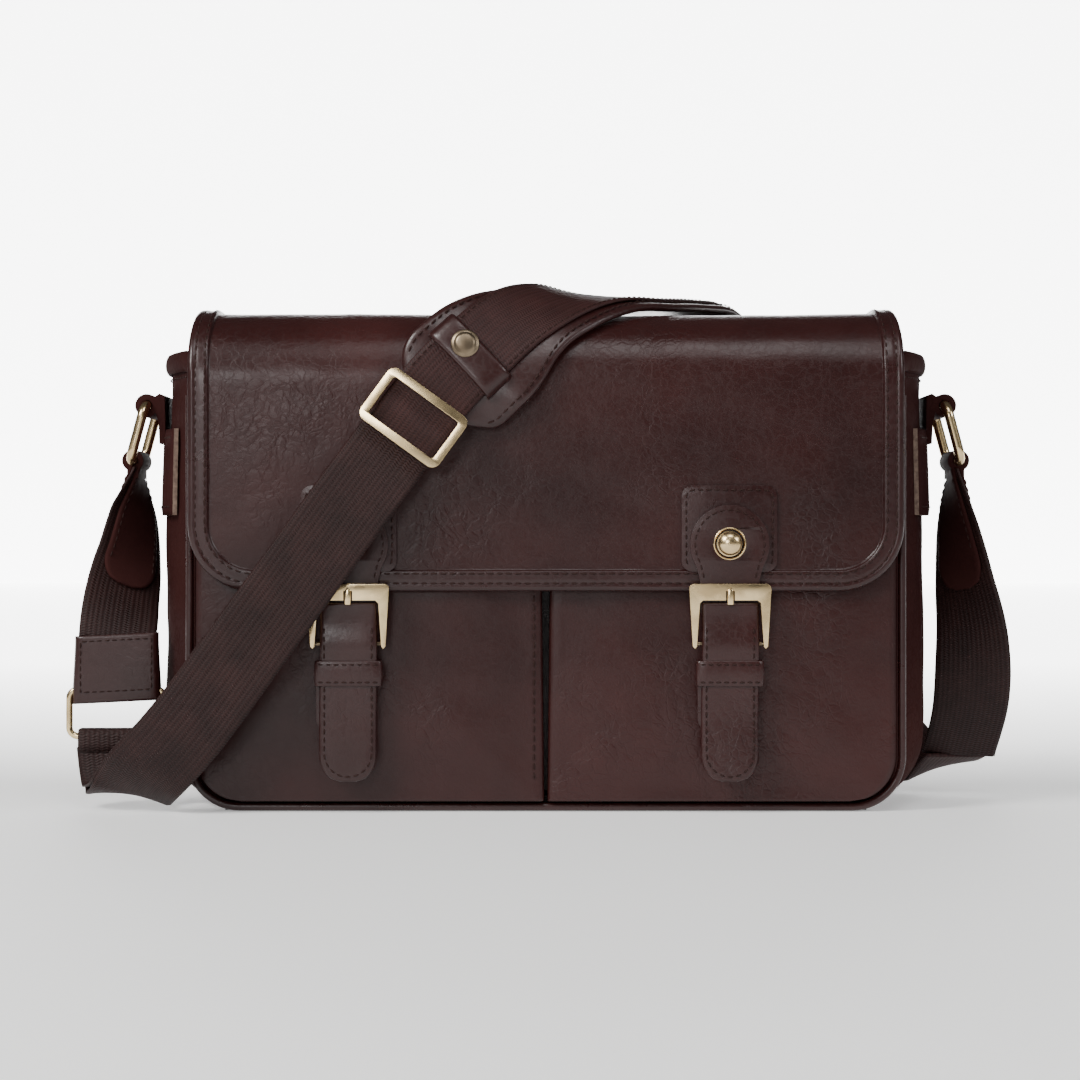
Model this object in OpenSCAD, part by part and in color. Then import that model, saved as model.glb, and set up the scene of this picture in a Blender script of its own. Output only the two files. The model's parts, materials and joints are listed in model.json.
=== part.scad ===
// Messenger-style camera bag: a leather box bag with two front pockets, a full flap held by two
// buckled straps, a padded divided interior and a webbing shoulder strap that lies across the flap.
// Frame: X to the bag's left-to-right, -Y towards the front, +Z up, origin at the centre of the base.

/* [Body] */
// Width of the front and back panels
bag_w = 315; // [305:1:322]
// Depth from the pocket fronts to the back panel
bag_d = 120; // [118:1:122]
// Height of the open rim
rim_h = 200; // [196:1:202]
// Sideways bulge of each gusset
gusset_bulge = 20; // [15:1:22]
// Radius of the lower front corners
corner_r = 22; // [16:1:26]
// Thickness of a padded wall
wall_t = 3; // [2.5:0.1:3.2]
// Height of the front pockets
pocket_h = 128; // [110:1:135]

/* [Flap] */
// Height of the flap's lower edge
flap_edge_z = 97.5; // [95:0.5:101]
// Thickness of the flap's outer leather
flap_t = 2.4; // [2:0.1:2.5]
// Radius of the flap's lower corners
flap_corner_r = 29; // [24:1:34]
// Width of the flap's sewn border
border_w = 9.5; // [8:0.5:11]

/* [Closures] */
// Left closure's distance from the middle
closure_left = 86.5; // [84:0.5:89]
// Right closure's distance from the middle
closure_right = 80.5; // [78:0.5:85]
// Width of the buckled strap
billet_w = 26; // [25:0.5:27]
// Diameter of the ball stud
ball_d = 10.4; // [9:0.2:11]

/* [Shoulder strap] */
// Width of the webbing
webbing_w = 35; // [33:0.5:35]
// Thickness of the webbing
webbing_t = 1.6; // [1.4:0.1:1.8]
// Thickness of a ring's wire
ring_wire = 4.6; // [4:0.1:4.8]

/* [Hidden] */
$fn = 40;

leather = "#3a2022";
dark_leather = "#2e191a";
webbing_brown = "#2b1c1b";
brass = "#b39a68";
lining = "#4a3b33";
half_w = bag_w / 2;
front_y = -bag_d / 2;
back_y = bag_d / 2;
pocket_t = 2.4;
inner_front_y = front_y + 22;
gusset_y0 = front_y + 5.9;
gusset_y1 = back_y - wall_t;
base_x = half_w - corner_r - 0.9;
lining_t = 1.2;
lining_y = front_y - 0.8;
panel_y = lining_y - lining_t;
face_y = panel_y - flap_t;
hinge_y = back_y - 1;
hinge_z = 208;
crown_r = 32;
crown_z = 190;
hook_z = 181.5;
ring_x = 182.4;
loop_r = 5.4;
closure_z = 118.4;
bar_z0 = 93.6;
bar_z1 = 100.8;
heel_z = 74.5;
billet_y = face_y - 4.4;
tip_z = 14.4;

// ---------- shared shapes ----------

function blend3(a, b, c, d, t) =
    0.5 * (2 * b + (c - a) * t + (2 * a - 5 * b + 4 * c - d) * t * t + (3 * b - a - 3 * c + d) * t * t * t);
function station(route, s) = let (n = len(route) - 1, i = min(floor(s), n - 1))
    blend3(route[max(i - 1, 0)], route[i], route[i + 1], route[min(i + 2, n)], s - i);
function place(v) = [v[0], v[1], v[2]];
function width_way(v) = [v[3], v[4], v[5]];
function unit(v) = v / norm(v);
function square_to(v, along) = unit(v - (v * along) * along);

// A flat band swept along a route's stations from parameter a to b. Each station is a point and a
// width direction; lift moves the band along its own normal.
module band(route, a, b, width, thick, steps, lift = 0, shift = 0) {
    at = [for (k = [0:steps]) a + (b - a) * k / steps];
    p = [for (s = at) place(station(route, s))];
    along = [for (k = [0:steps]) unit(p[min(k + 1, steps)] - p[max(k - 1, 0)])];
    across = [for (k = [0:steps]) square_to(width_way(station(route, at[k])), along[k])];
    out = [for (k = [0:steps]) cross(across[k], along[k])];
    corner = [[-1, -1], [1, -1], [1, 1], [-1, 1]];
    points = [for (k = [0:steps]) for (c = corner)
        p[k] + across[k] * (shift + c[0] * width / 2) + out[k] * (c[1] * thick / 2 + lift)];
    sides = [for (k = [0:steps - 1]) for (c = [0:3]) for (half = [0, 1])
        let (i = 4 * k + c, j = 4 * k + (c + 1) % 4)
        half == 0 ? [i, j, i + 4] : [j, j + 4, i + 4]];
    last = 4 * steps;
    polyhedron(points = points, faces = concat(sides,
        [[0, 2, 1], [0, 3, 2], [last, last + 1, last + 2], [last, last + 2, last + 3]]));
}

// Lays a child, drawn flat with X across and Y along, on a route at a parameter, raised by lift.
module on_route(route, s, lift) {
    p = place(station(route, s));
    along = unit(place(station(route, s + 0.15)) - place(station(route, s - 0.15)));
    across = square_to(width_way(station(route, s)), along);
    out = cross(across, along);
    spot = p + out * lift;
    multmatrix([for (k = [0:2]) [across[k], along[k], out[k], spot[k]]]) children();
}

// A rectangular ring of round wire, drawn in the XY plane on its wire's centre line.
module wire_ring(w, h, r, wire) {
    for (i = [0:3]) rotate(i * 90) {
        long = i % 2 == 0 ? w : h;
        deep = i % 2 == 0 ? h : w;
        translate([-long / 2 + r, -deep / 2, 0]) rotate([0, 90, 0]) cylinder(d = wire, h = long - 2 * r);
        translate([long / 2 - r, -deep / 2 + r, 0]) rotate(-90)
            rotate_extrude(angle = 90) translate([r, 0]) circle(d = wire);
    }
}

// A slab in the XZ plane with rounded corners, from y0 to y1.
module front_slab(w, z0, z1, r, y0, y1) {
    translate([0, y1, 0]) rotate([90, 0, 0]) linear_extrude(y1 - y0)
        translate([0, (z0 + z1) / 2]) rounded(w, z1 - z0, r);
}
module rounded(w, h, r) {
    for (s = [-1, 1]) for (t = [-1, 1])
        translate([s * (w / 2 - r), t * (h / 2 - r)]) circle(r);
    square([w - 2 * r, h], center = true);
    square([w, h - 2 * r], center = true);
}

// ---------- main body ----------

module base_panel() {
    color(leather) translate([0, 2, 0]) linear_extrude(2.6)
        rounded(bag_w - 2 * corner_r - 2, bag_d - 14, 10);
}
module base_board() {
    color(lining) translate([0, 5, 2.8]) linear_extrude(2.4)
        rounded(bag_w - 2 * corner_r - 6, bag_d - 26, 8);
}
module front_panel() {
    color(leather) front_slab(bag_w - 4, 5.6, rim_h, corner_r - 2, inner_front_y, inner_front_y + wall_t);
}
module back_panel() {
    color(leather) front_slab(bag_w - 3.6, 4.1, rim_h + 5, corner_r - 1.8, gusset_y1 + 0.2, back_y);
}

// Plan outline of one gusset: a shallow arc that bulges sideways between the front and back seams.
module gusset_plan(extra) {
    steps = 14;
    outer = [for (k = [0:steps]) let (u = k / steps)
        [half_w - 3 + extra + gusset_bulge * sin(180 * u), gusset_y0 + (gusset_y1 - gusset_y0) * u]];
    inner = [for (k = [steps:-1:0]) outer[k] - [2, 0]];
    polygon(concat(outer, inner));
}
// Front-view outline of a gusset: an upright side that turns under the bag on a wide foot.
module gusset_front(inset) {
    side_x = half_w - 3 + gusset_bulge - inset;
    foot = 32 - inset;
    z0 = 0.3 + inset;
    polygon(concat([[base_x, rim_h + 20], [base_x, z0]],
        [for (a = [-90:7.5:0]) [side_x - foot + foot * cos(a), z0 + foot + foot * sin(a)]],
        [[side_x, rim_h + 20]]));
}
module gusset_core(inset) {
    steps = 14;
    intersection() {
        translate([0, 0, -1]) linear_extrude(rim_h + 30) polygon(concat([[base_x, gusset_y0]],
            [for (k = [0:steps]) let (u = k / steps)
                [half_w - 3 - inset + gusset_bulge * sin(180 * u), gusset_y0 + (gusset_y1 - gusset_y0) * u]],
            [[base_x, gusset_y1]]));
        translate([0, gusset_y1 + 1, 0]) rotate([90, 0, 0])
            linear_extrude(gusset_y1 - gusset_y0 + 2) gusset_front(inset);
    }
}
module gusset(side) {
    color(leather) mirror([side < 0 ? 1 : 0, 0, 0]) difference() {
        gusset_core(0);
        gusset_core(2);
        translate([0, 0, rim_h - 5]) linear_extrude(60) square(1000, center = true);
        translate([base_x - 1, -200, 2.3]) cube([2, 400, 400]);
    }
}
module gusset_bindings() {
    for (s = [-1, 1]) color(dark_leather) mirror([s < 0 ? 1 : 0, 0, 0]) {
        translate([0, 0, rim_h - 4.8]) linear_extrude(7) gusset_plan(0.6);
        translate([0, 0, rim_h - 4.9]) linear_extrude(1.4) intersection() {
            gusset_plan(2.7);
            translate([half_w, -40]) square([40, 80]);
        }
    }
}

// Piping round the lower edge of a panel: two legs, two quarter turns and the foot.
module piping(y, top, d) {
    r = corner_r;
    z0 = d / 2 + 0.3;
    for (s = [-1, 1]) {
        translate([s * half_w, y, z0 + r]) cylinder(d = d, h = top - z0 - r);
        translate([s * (half_w - r), y, z0 + r]) mirror([s < 0 ? 1 : 0, 0, 0]) rotate([-90, 0, 0])
            rotate_extrude(angle = 90) translate([r, 0]) circle(d = d);
    }
    translate([-half_w + r, y, z0]) rotate([0, 90, 0]) cylinder(d = d, h = bag_w - 2 * r);
}
module piping_front() { color(dark_leather) piping(front_y + pocket_t + 1.6, 184, 3.6); }
module piping_back() { color(dark_leather) piping(back_y - 1.3, 190, 3.2); }

// ---------- front pockets ----------

module pocket(side) {
    w = half_w - 3;
    color(leather) mirror([side < 0 ? 1 : 0, 0, 0]) intersection() {
        union() {
            translate([2, front_y, 4.6]) cube([w - 2, pocket_t, pocket_h - 4.6]);
            translate([2, front_y, 4.6]) cube([2, 17.2, pocket_h - 4.6]);
            translate([4, front_y + pocket_t, 4.6]) cube([w - 24, 14.6, 2]);
        }
        front_slab(2 * w, 4.6, pocket_h + 100, corner_r - 3, front_y - 1, front_y + 40);
    }
}
module pocket_pleat() {
    color(dark_leather) front_slab(bag_w - 40, 8, pocket_h - 2, 8, inner_front_y - 1.5, inner_front_y - 0.2);
}
module pocket_magnets() {
    for (x = [-closure_left, closure_right]) color("silver")
        translate([x, front_y - 1.6, 48]) rotate([-90, 0, 0]) cylinder(d = 14, h = 1.6);
}

// ---------- padded interior ----------

liner_y0 = inner_front_y + wall_t + 0.6;
liner_y1 = gusset_y1 - 0.4;
pad_t = 5;
module padded_liner() {
    w = bag_w - 12;
    color(lining) {
        translate([-w / 2 + corner_r, liner_y0, 5.4]) cube([w - 2 * corner_r, liner_y1 - liner_y0, pad_t]);
        for (y = [liner_y0, liner_y1 - pad_t])
            translate([-w / 2, y, 26]) cube([w, pad_t, rim_h - 32]);
        for (s = [-1, 1])
            translate([s * (w / 2 - pad_t / 2), (liner_y0 + liner_y1) / 2, rim_h / 2 + 10])
                cube([pad_t, liner_y1 - liner_y0 - 2 * pad_t - 0.2, rim_h - 32], center = true);
    }
}
module divider(side) {
    span = liner_y1 - liner_y0 - 2 * pad_t - 1;
    color(lining) translate([side * 62, (liner_y0 + liner_y1) / 2, 0]) rotate([90, 0, 90])
        translate([0, 0, -4]) linear_extrude(8) translate([0, 85]) rounded(span, 148, 5);
}

// ---------- side patches, loops and rings ----------

module side_patch(side) {
    color(dark_leather) mirror([side < 0 ? 1 : 0, 0, 0]) intersection() {
        translate([0, 0, 131]) linear_extrude(39) gusset_plan(2);
        translate([half_w, -34, 100]) cube([60, 68, 100]);
    }
}
module ring_loop(side) {
    color(dark_leather) mirror([side < 0 ? 1 : 0, 0, 0]) difference() {
        union() {
            translate([ring_x, 0, hook_z]) rotate([90, 0, 0]) cylinder(r = loop_r, h = 31, center = true);
            intersection() {
                translate([0, 0, 170.2]) linear_extrude(14) gusset_plan(3.2);
                translate([half_w, -15.5, 100]) cube([60, 31, 100]);
            }
        }
        translate([ring_x, 0, hook_z]) rotate([90, 0, 0]) cylinder(d = ring_wire + 0.4, h = 60, center = true);
        translate([0, 0, 160]) linear_extrude(40) gusset_plan(0.1);
    }
}

ring_drop = 26;
ring_lean = 15;
ring_foot = [ring_x + ring_drop * sin(ring_lean), 0, hook_z - ring_drop * cos(ring_lean)];
module ring(side) {
    color(brass) mirror([side < 0 ? 1 : 0, 0, 0]) translate([ring_x, 0, hook_z])
        rotate([0, 90 - ring_lean, 0]) translate([ring_drop / 2, 0, 0])
            wire_ring(ring_drop, webbing_w + 7, 6, ring_wire);
}
// Leather end of the shoulder strap, folded round the ring's lower bar.
module end_tab(side) {
    tab_r = ring_wire / 2 + 2.6;
    color(dark_leather) mirror([side < 0 ? 1 : 0, 0, 0]) translate(ring_foot) difference() {
        union() {
            rotate([90, 0, 0]) cylinder(r = tab_r, h = 27, center = true);
            for (s = [-1, 1]) translate([s * 3.1 - 0.8, -13.5, -7.5]) cube([1.6, 27, 7.5]);
        }
        rotate([90, 0, 0]) cylinder(d = ring_wire + 0.5, h = 60, center = true);
    }
}

// ---------- shoulder strap ----------

// Stations of the webbing: point, then the direction of its width.
drop_left_route = [
    [-189.4, 0, 152, -0.1, 1, 0], [-189.7, -2, 133, 0.45, 0.89, 0], [-191, -9, 112, 0.7, 0.71, 0],
    [-192.8, -20, 94, 0.88, 0.47, 0], [-193.5, -30, 78, 1, 0, 0]];
lower_route = [
    [-193.5, -31, 38, 1, 0, 0], [-193, -30, 26, 1, 0, -0.05], [-190, -36, 12, 0.98, -0.2, -0.1],
    [-184, -52, 9, 0.97, -0.2, -0.15], [-176, -67, 17, 0.93, -0.1, -0.36], [-163, -76, 30, 0.81, 0, -0.59],
    [-149, -79.5, 47, 0.81, 0, -0.59], [-128, -80, 76, 0.81, 0, -0.59]];
front_route = [
    [-128, -80, 76, 0.81, 0, -0.59], [-107, -79.5, 105, 0.81, 0, -0.59], [-84, -77.5, 137, 0.81, 0, -0.59],
    [-57.5, -71.5, 173, 0.81, 0, -0.59], [-40, -69.5, 196, 0.81, 0, -0.59]];
top_route = [
    [-58, -71.6, 172, 0.81, 0, -0.59], [-45.5, -70.4, 188, 0.8, 0, -0.6], [-31, -69.0, 202, 0.77, -0.12, -0.62],
    [-14, -60.5, 216.5, 0.76, -0.26, -0.56], [4, -46.5, 224.9, 0.77, -0.44, -0.4], [22, -28, 227.3, 0.8, -0.58, -0.14],
    [40, -8, 227, 0.82, -0.58, -0.02], [56, 16, 228, 0.83, -0.56, 0.02], [70, 38, 227.5, 0.85, -0.5, 0.02],
    [79, 56, 222, 0.9, -0.4, 0.1]];
back_route = [
    [82, 64, 214, 0.94, -0.3, 0.12], [88, 71, 196, 0.95, -0.1, 0.25], [98, 76, 160, 0.93, 0, 0.36],
    [114, 79, 115, 0.9, 0, 0.42], [134, 80, 72, 0.88, 0, 0.46], [157, 76, 40, 0.87, 0, 0.48],
    [174, 62, 18, 0.9, 0.05, 0.36], [186, 44, 11.5, 0.93, 0, 0.28], [195, 26, 19, 0.95, -0.1, 0.2]];
drop_right_route = [
    [195, 26, 19, 0.95, -0.1, 0.2], [198, 8, 44, 1, -0.1, 0.08], [197, -3, 74, 0.88, -0.47, 0],
    [193, -4, 102, 0.65, -0.76, 0], [189.8, -1, 130, 0.35, -0.94, 0], [189.4, 0, 152, -0.1, -1, 0]];

module strap_drop_left() {
    color(webbing_brown) band(drop_left_route, 0.14, 4, webbing_w, webbing_t, 30);
}
module strap_sleeve() {
    color(dark_leather) translate([-193.5, -31, 62]) difference() {
        cube([webbing_w + 4, 7, 30], center = true);
        translate([0, 0, -9.5]) rotate([0, 90, 0]) cylinder(d = 4.6, h = 60, center = true);
    }
}
module adjuster_ring() {
    color(brass) translate([-193.5, -31, 42]) rotate([90, 0, 0]) wire_ring(webbing_w + 8, 21, 4, 3);
}
module strap_lower() {
    color(webbing_brown) band(lower_route, 0.9, 6.96, webbing_w, webbing_t, 34);
}
module strap_front() {
    color(webbing_brown) band(front_route, 0.05, 2.9, webbing_w, webbing_t, 12);
}
module strap_top() {
    color(dark_leather) band(top_route, 0.25, 9, webbing_w, 1.6, 35, 3.4);
}
module shoulder_pad() {
    color(leather) band(top_route, 0.5, 9, 50, 3.6, 34, -0.8, 3);
}
module strap_back() {
    color(webbing_brown) band(back_route, 0.1, 7.9, webbing_w, webbing_t, 36);
}
module strap_drop_right() {
    color(webbing_brown) band(drop_right_route, 0.1, 4.86, webbing_w, webbing_t, 30);
}

module on_strap(x, y, z, lean) {
    translate([x, y, z]) rotate([-lean, 0, 0]) rotate([90, 36, 0]) children();
}
module slider() {
    color(brass) on_strap(-57.5, -77.6, 173, 3) difference() {
        linear_extrude(3, center = true) rounded(42, 27, 4);
        for (s = [-1, 1]) translate([0, s * 5.4, 0]) cube([35.4, 8.4, 8], center = true);
    }
}
module pad_keeper() {
    color(dark_leather) on_route(top_route, 1.85, 4.75) difference() {
        linear_extrude(4.7, center = true) rounded(41, 15, 2);
        translate([0, 0, -2.25]) cube([37, 40, 6], center = true);
    }
}
module pad_button() {
    color("#8a8062") on_route(top_route, 1.85, 4.75) translate([-4.5, 1.4, 2.35]) cylinder(d1 = 12, d2 = 9, h = 1.8);
}

// ---------- flap ----------

// Side profile of the flap's outer line, from the lower edge over the crown to the hinge.
function flap_line(out) = concat(
    [[face_y - out, flap_edge_z]],
    [for (a = [180:-9:90]) [face_y + crown_r + (crown_r + out) * cos(a), crown_z + (crown_r + out) * sin(a)]],
    [for (u = [0.25, 0.5, 0.75, 1]) let (y0 = face_y + crown_r, y1 = hinge_y - 3)
        [y0 + (y1 - y0) * u, crown_z + crown_r + out - 12 * u * u]]);
module flap_band(inner, outer) {
    line = flap_line(inner);
    rotate([90, 0, 90]) linear_extrude(bag_w + 20, center = true)
        polygon(concat(flap_line(outer), [for (k = [len(line) - 1:-1:0]) line[k]]));
}
// Everything inside the flap's cut outline, drawn in by a margin on its three free edges.
module flap_outline(margin) {
    w = bag_w - 2 * margin;
    r = flap_corner_r - margin;
    intersection() {
        front_slab(w, flap_edge_z + margin, 400, r, -120, 120);
        linear_extrude(400) polygon([[-w / 2, -120], [-w / 2, -60], [-w / 2 + 2.5, -30], [-w / 2 + 8, 100],
            [w / 2 - 8, 100], [w / 2 - 2.5, -30], [w / 2, -60], [w / 2, -120]]);
    }
}
module flap_panel() {
    color(leather) intersection() { flap_band(-flap_t, 0); flap_outline(0.6); }
}
module flap_lining() {
    color(lining) intersection() { flap_band(-flap_t - lining_t, -flap_t); flap_outline(1.4); }
}
module flap_border() {
    color(dark_leather) intersection() {
        flap_band(0, 1.8);
        difference() { flap_outline(0); flap_outline(border_w); }
    }
}
module flap_anchor() {
    color(leather) translate([0, back_y + 0.9, 0])
        front_slab(bag_w - 22, 172, hinge_z - 4, 3, -0.7, 1.1);
}
module patch(x) {
    color(dark_leather) translate([x, 0, 0])
        front_slab(42, flap_edge_z + border_w + 0.3, 144, 5, face_y - 1.6, face_y);
}
module closure_tab(x) {
    y0 = face_y - 4.2;
    y1 = face_y - 1.9;
    color(dark_leather) translate([x, y1, 0]) rotate([90, 0, 0]) linear_extrude(y1 - y0) difference() {
        polygon(concat([for (a = [-25:5:205]) [17.4 * cos(a), 118 + 17.4 * sin(a)]],
            [[-billet_w / 2, 102], [-billet_w / 2, bar_z0 - 6], [billet_w / 2, bar_z0 - 6], [billet_w / 2, 102]]));
        translate([0, closure_z]) circle(7.6);
    }
}
module eyelets() {
    for (x = [-closure_left, closure_right]) color(brass)
        translate([x, face_y - 1.9, closure_z]) rotate([90, 0, 0]) difference() {
            union() {
                cylinder(r = 7.5, h = 2.3);
                translate([0, 0, 2.3]) cylinder(r = 8.6, h = 0.5);
            }
            cylinder(r = 6.3, h = 20, center = true);
        }
}
module stud(x) {
    color(brass) translate([x, face_y - 1.7, closure_z]) rotate([90, 0, 0]) rotate_extrude()
        polygon(concat([[0, 0], [5.6, 0], [5.6, 0.6], [2.2, 0.9], [2.2, 2.4]],
            [for (a = [-55:11:90]) [max(0, ball_d / 2 * cos(a)), 4.4 + ball_d / 2 * 0.62 * sin(a)]]));
}
module buckle(x) {
    y1 = billet_y - 0.6;
    color(brass) translate([x, y1, 0]) rotate([90, 0, 0]) {
        linear_extrude(2.8) difference() {
            polygon([[-17.6, bar_z1], [17.6, bar_z1], [18, bar_z1 - 1], [16.6, heel_z - 1.4],
                [14.6, heel_z - 1.4], [13.6, bar_z0], [-13.6, bar_z0], [-14.6, heel_z - 1.4],
                [-16.6, heel_z - 1.4], [-18, bar_z1 - 1]]);
            translate([-1.7, bar_z0 - 1]) square([3.4, 5.6]);
        }
    }
    color(brass) translate([x, y1 + 2.9, heel_z]) {
        rotate([0, 90, 0]) cylinder(d = 2.6, h = 33, center = true);
        for (s = [-1, 1]) translate([s * 15.6 - 0.9, -3.4, -1.3]) cube([1.8, 3.4, 2.6]);
    }
}
module prong(x) {
    color(brass) translate([x, billet_y - 3.1, 0]) translate([-1.4, 0, 91.5]) cube([2.8, 1.6, 6.2]);
}

// ---------- swinging strap ends ----------

module billet(x) {
    color(dark_leather) translate([x, billet_y + 0.2, 0]) rotate([90, 0, 0]) linear_extrude(2.2)
        polygon(concat([for (a = [180:6:360]) [12.5 * cos(a), tip_z + 12.5 + 12.5 * sin(a)]],
            [[12.5, heel_z + 9], [-12.5, heel_z + 9]]));
}
module chape(x) {
    color(dark_leather) translate([x - 1.5, billet_y + 2.2, 0]) rotate([90, 0, 0])
        linear_extrude(1.8) translate([0, 52]) rounded(25, 32, 6);
}
module keeper(x) {
    color(dark_leather) translate([x, billet_y + 0.1, 63.6]) difference() {
        cube([30.6, 6.8, 11.6], center = true);
        cube([27.8, 4.4, 20], center = true);
    }
}
module strap_magnet(x) {
    color("silver") translate([x, billet_y + 2.3, 48]) rotate([-90, 0, 0])
        cylinder(d = 14, h = front_y - 2 - billet_y - 2.3);
}

base_panel();
base_board();
front_panel();
back_panel();
gusset(-1);  // gusset_left
gusset(1);  // gusset_right
gusset_bindings();
piping_front();
piping_back();
pocket(-1);  // pocket_left
pocket(1);  // pocket_right
pocket_pleat();
padded_liner();
divider(-1);  // divider_left
divider(1);  // divider_right
pocket_magnets();
side_patch(-1);  // side_patch_left
side_patch(1);  // side_patch_right
ring_loop(-1);  // ring_loop_left
ring_loop(1);  // ring_loop_right
ring(-1);  // ring_left
ring(1);  // ring_right
end_tab(-1);  // end_tab_left
end_tab(1);  // end_tab_right
strap_drop_left();
strap_sleeve();
adjuster_ring();
strap_lower();
strap_front();
strap_top();
strap_back();
strap_drop_right();
slider();
shoulder_pad();
pad_keeper();
pad_button();
flap_panel();
flap_lining();
flap_border();
flap_anchor();
patch(-closure_left);  // patch_left
patch(closure_right);  // patch_right
stud(-closure_left);  // stud_left
stud(closure_right);  // stud_right
closure_tab(-closure_left);  // closure_tab_left
closure_tab(closure_right);  // closure_tab_right
eyelets();
buckle(-closure_left);  // buckle_left
buckle(closure_right);  // buckle_right
prong(-closure_left);  // prong_left
prong(closure_right);  // prong_right
billet(-closure_left);  // billet_left
billet(closure_right);  // billet_right
chape(-closure_left);  // chape_left
chape(closure_right);  // chape_right
keeper(-closure_left);  // keeper_left
keeper(closure_right);  // keeper_right
strap_magnet(-closure_left);  // strap_magnets_left
strap_magnet(closure_right);  // strap_magnets_right
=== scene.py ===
"""A leather camera messenger bag with a buckled flap and a draped webbing strap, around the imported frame."""

import json
from math import asin, copysign, cos, dist, exp, hypot, pi, radians, sin, sqrt

import bpy
from mathutils import Matrix, Vector, noise

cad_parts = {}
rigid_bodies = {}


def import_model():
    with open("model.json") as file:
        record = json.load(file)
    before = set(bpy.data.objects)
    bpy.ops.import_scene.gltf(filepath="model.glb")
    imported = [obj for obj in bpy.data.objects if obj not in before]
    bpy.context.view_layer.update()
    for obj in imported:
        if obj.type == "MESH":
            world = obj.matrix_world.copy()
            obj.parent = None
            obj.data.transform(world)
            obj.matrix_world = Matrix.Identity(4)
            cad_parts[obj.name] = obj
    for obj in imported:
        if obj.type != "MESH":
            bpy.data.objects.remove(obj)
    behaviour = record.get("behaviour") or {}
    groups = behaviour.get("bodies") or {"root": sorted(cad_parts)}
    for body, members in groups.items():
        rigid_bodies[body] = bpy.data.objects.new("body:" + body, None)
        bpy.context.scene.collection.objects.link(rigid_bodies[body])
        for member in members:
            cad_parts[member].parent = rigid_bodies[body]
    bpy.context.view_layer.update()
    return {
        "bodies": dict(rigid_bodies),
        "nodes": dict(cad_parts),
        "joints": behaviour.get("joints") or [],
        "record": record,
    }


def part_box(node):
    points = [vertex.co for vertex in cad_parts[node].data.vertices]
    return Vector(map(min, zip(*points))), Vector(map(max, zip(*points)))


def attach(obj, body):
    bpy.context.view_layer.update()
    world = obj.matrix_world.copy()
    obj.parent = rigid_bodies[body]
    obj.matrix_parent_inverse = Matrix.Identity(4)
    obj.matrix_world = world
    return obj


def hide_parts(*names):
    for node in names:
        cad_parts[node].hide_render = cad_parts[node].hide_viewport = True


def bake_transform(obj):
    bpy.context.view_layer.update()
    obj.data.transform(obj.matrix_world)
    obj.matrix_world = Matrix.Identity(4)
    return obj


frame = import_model()
nodes = frame["nodes"]

# ---- sizes, in metres, as in part.scad
MM = 0.001
HALF_W = 157.5 * MM
FRONT_Y = -60 * MM
FACE_Y = -64.4 * MM  # outer face of the closed flap
CROWN_R = 32 * MM
CROWN_Z = 190 * MM
FLAP_EDGE_Z = 97.5 * MM
FLAP_CORNER = 29 * MM
BORDER = 9.5 * MM
HINGE_Y = 59 * MM
GUSSET_X = 154.5 * MM
GUSSET_BULGE = 20 * MM
GUSSET_Y = (-54.1 * MM, 57 * MM)
GUSSET_DEPTH = GUSSET_Y[1] - GUSSET_Y[0]
CLOSURES = {"left": -86.5 * MM, "right": 80.5 * MM}
CLOSURE_Z = 118.4 * MM  # centre of the ball stud
BAR_Z = (93.6 * MM, 100.8 * MM)  # bottom and top of the buckle's bar
HEEL_Z = 74.5 * MM  # the buckle's lower bar
BILLET_Y = -68.8 * MM
BILLET_R = 12.5 * MM  # half the buckled strap's width, and the radius of its tip
TIP_Z = 14.4 * MM
KEEPER_Z = 61.7 * MM
WEBBING_W = 35 * MM
WEBBING_T = 1.6 * MM
RING_X, RING_Z = 182.4 * MM, 181.5 * MM
LINER_Y = (-34.4 * MM, 56.6 * MM)
SIDES = {"left": -1, "right": 1}
FORWARD = Vector((0, -1, 0))


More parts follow.
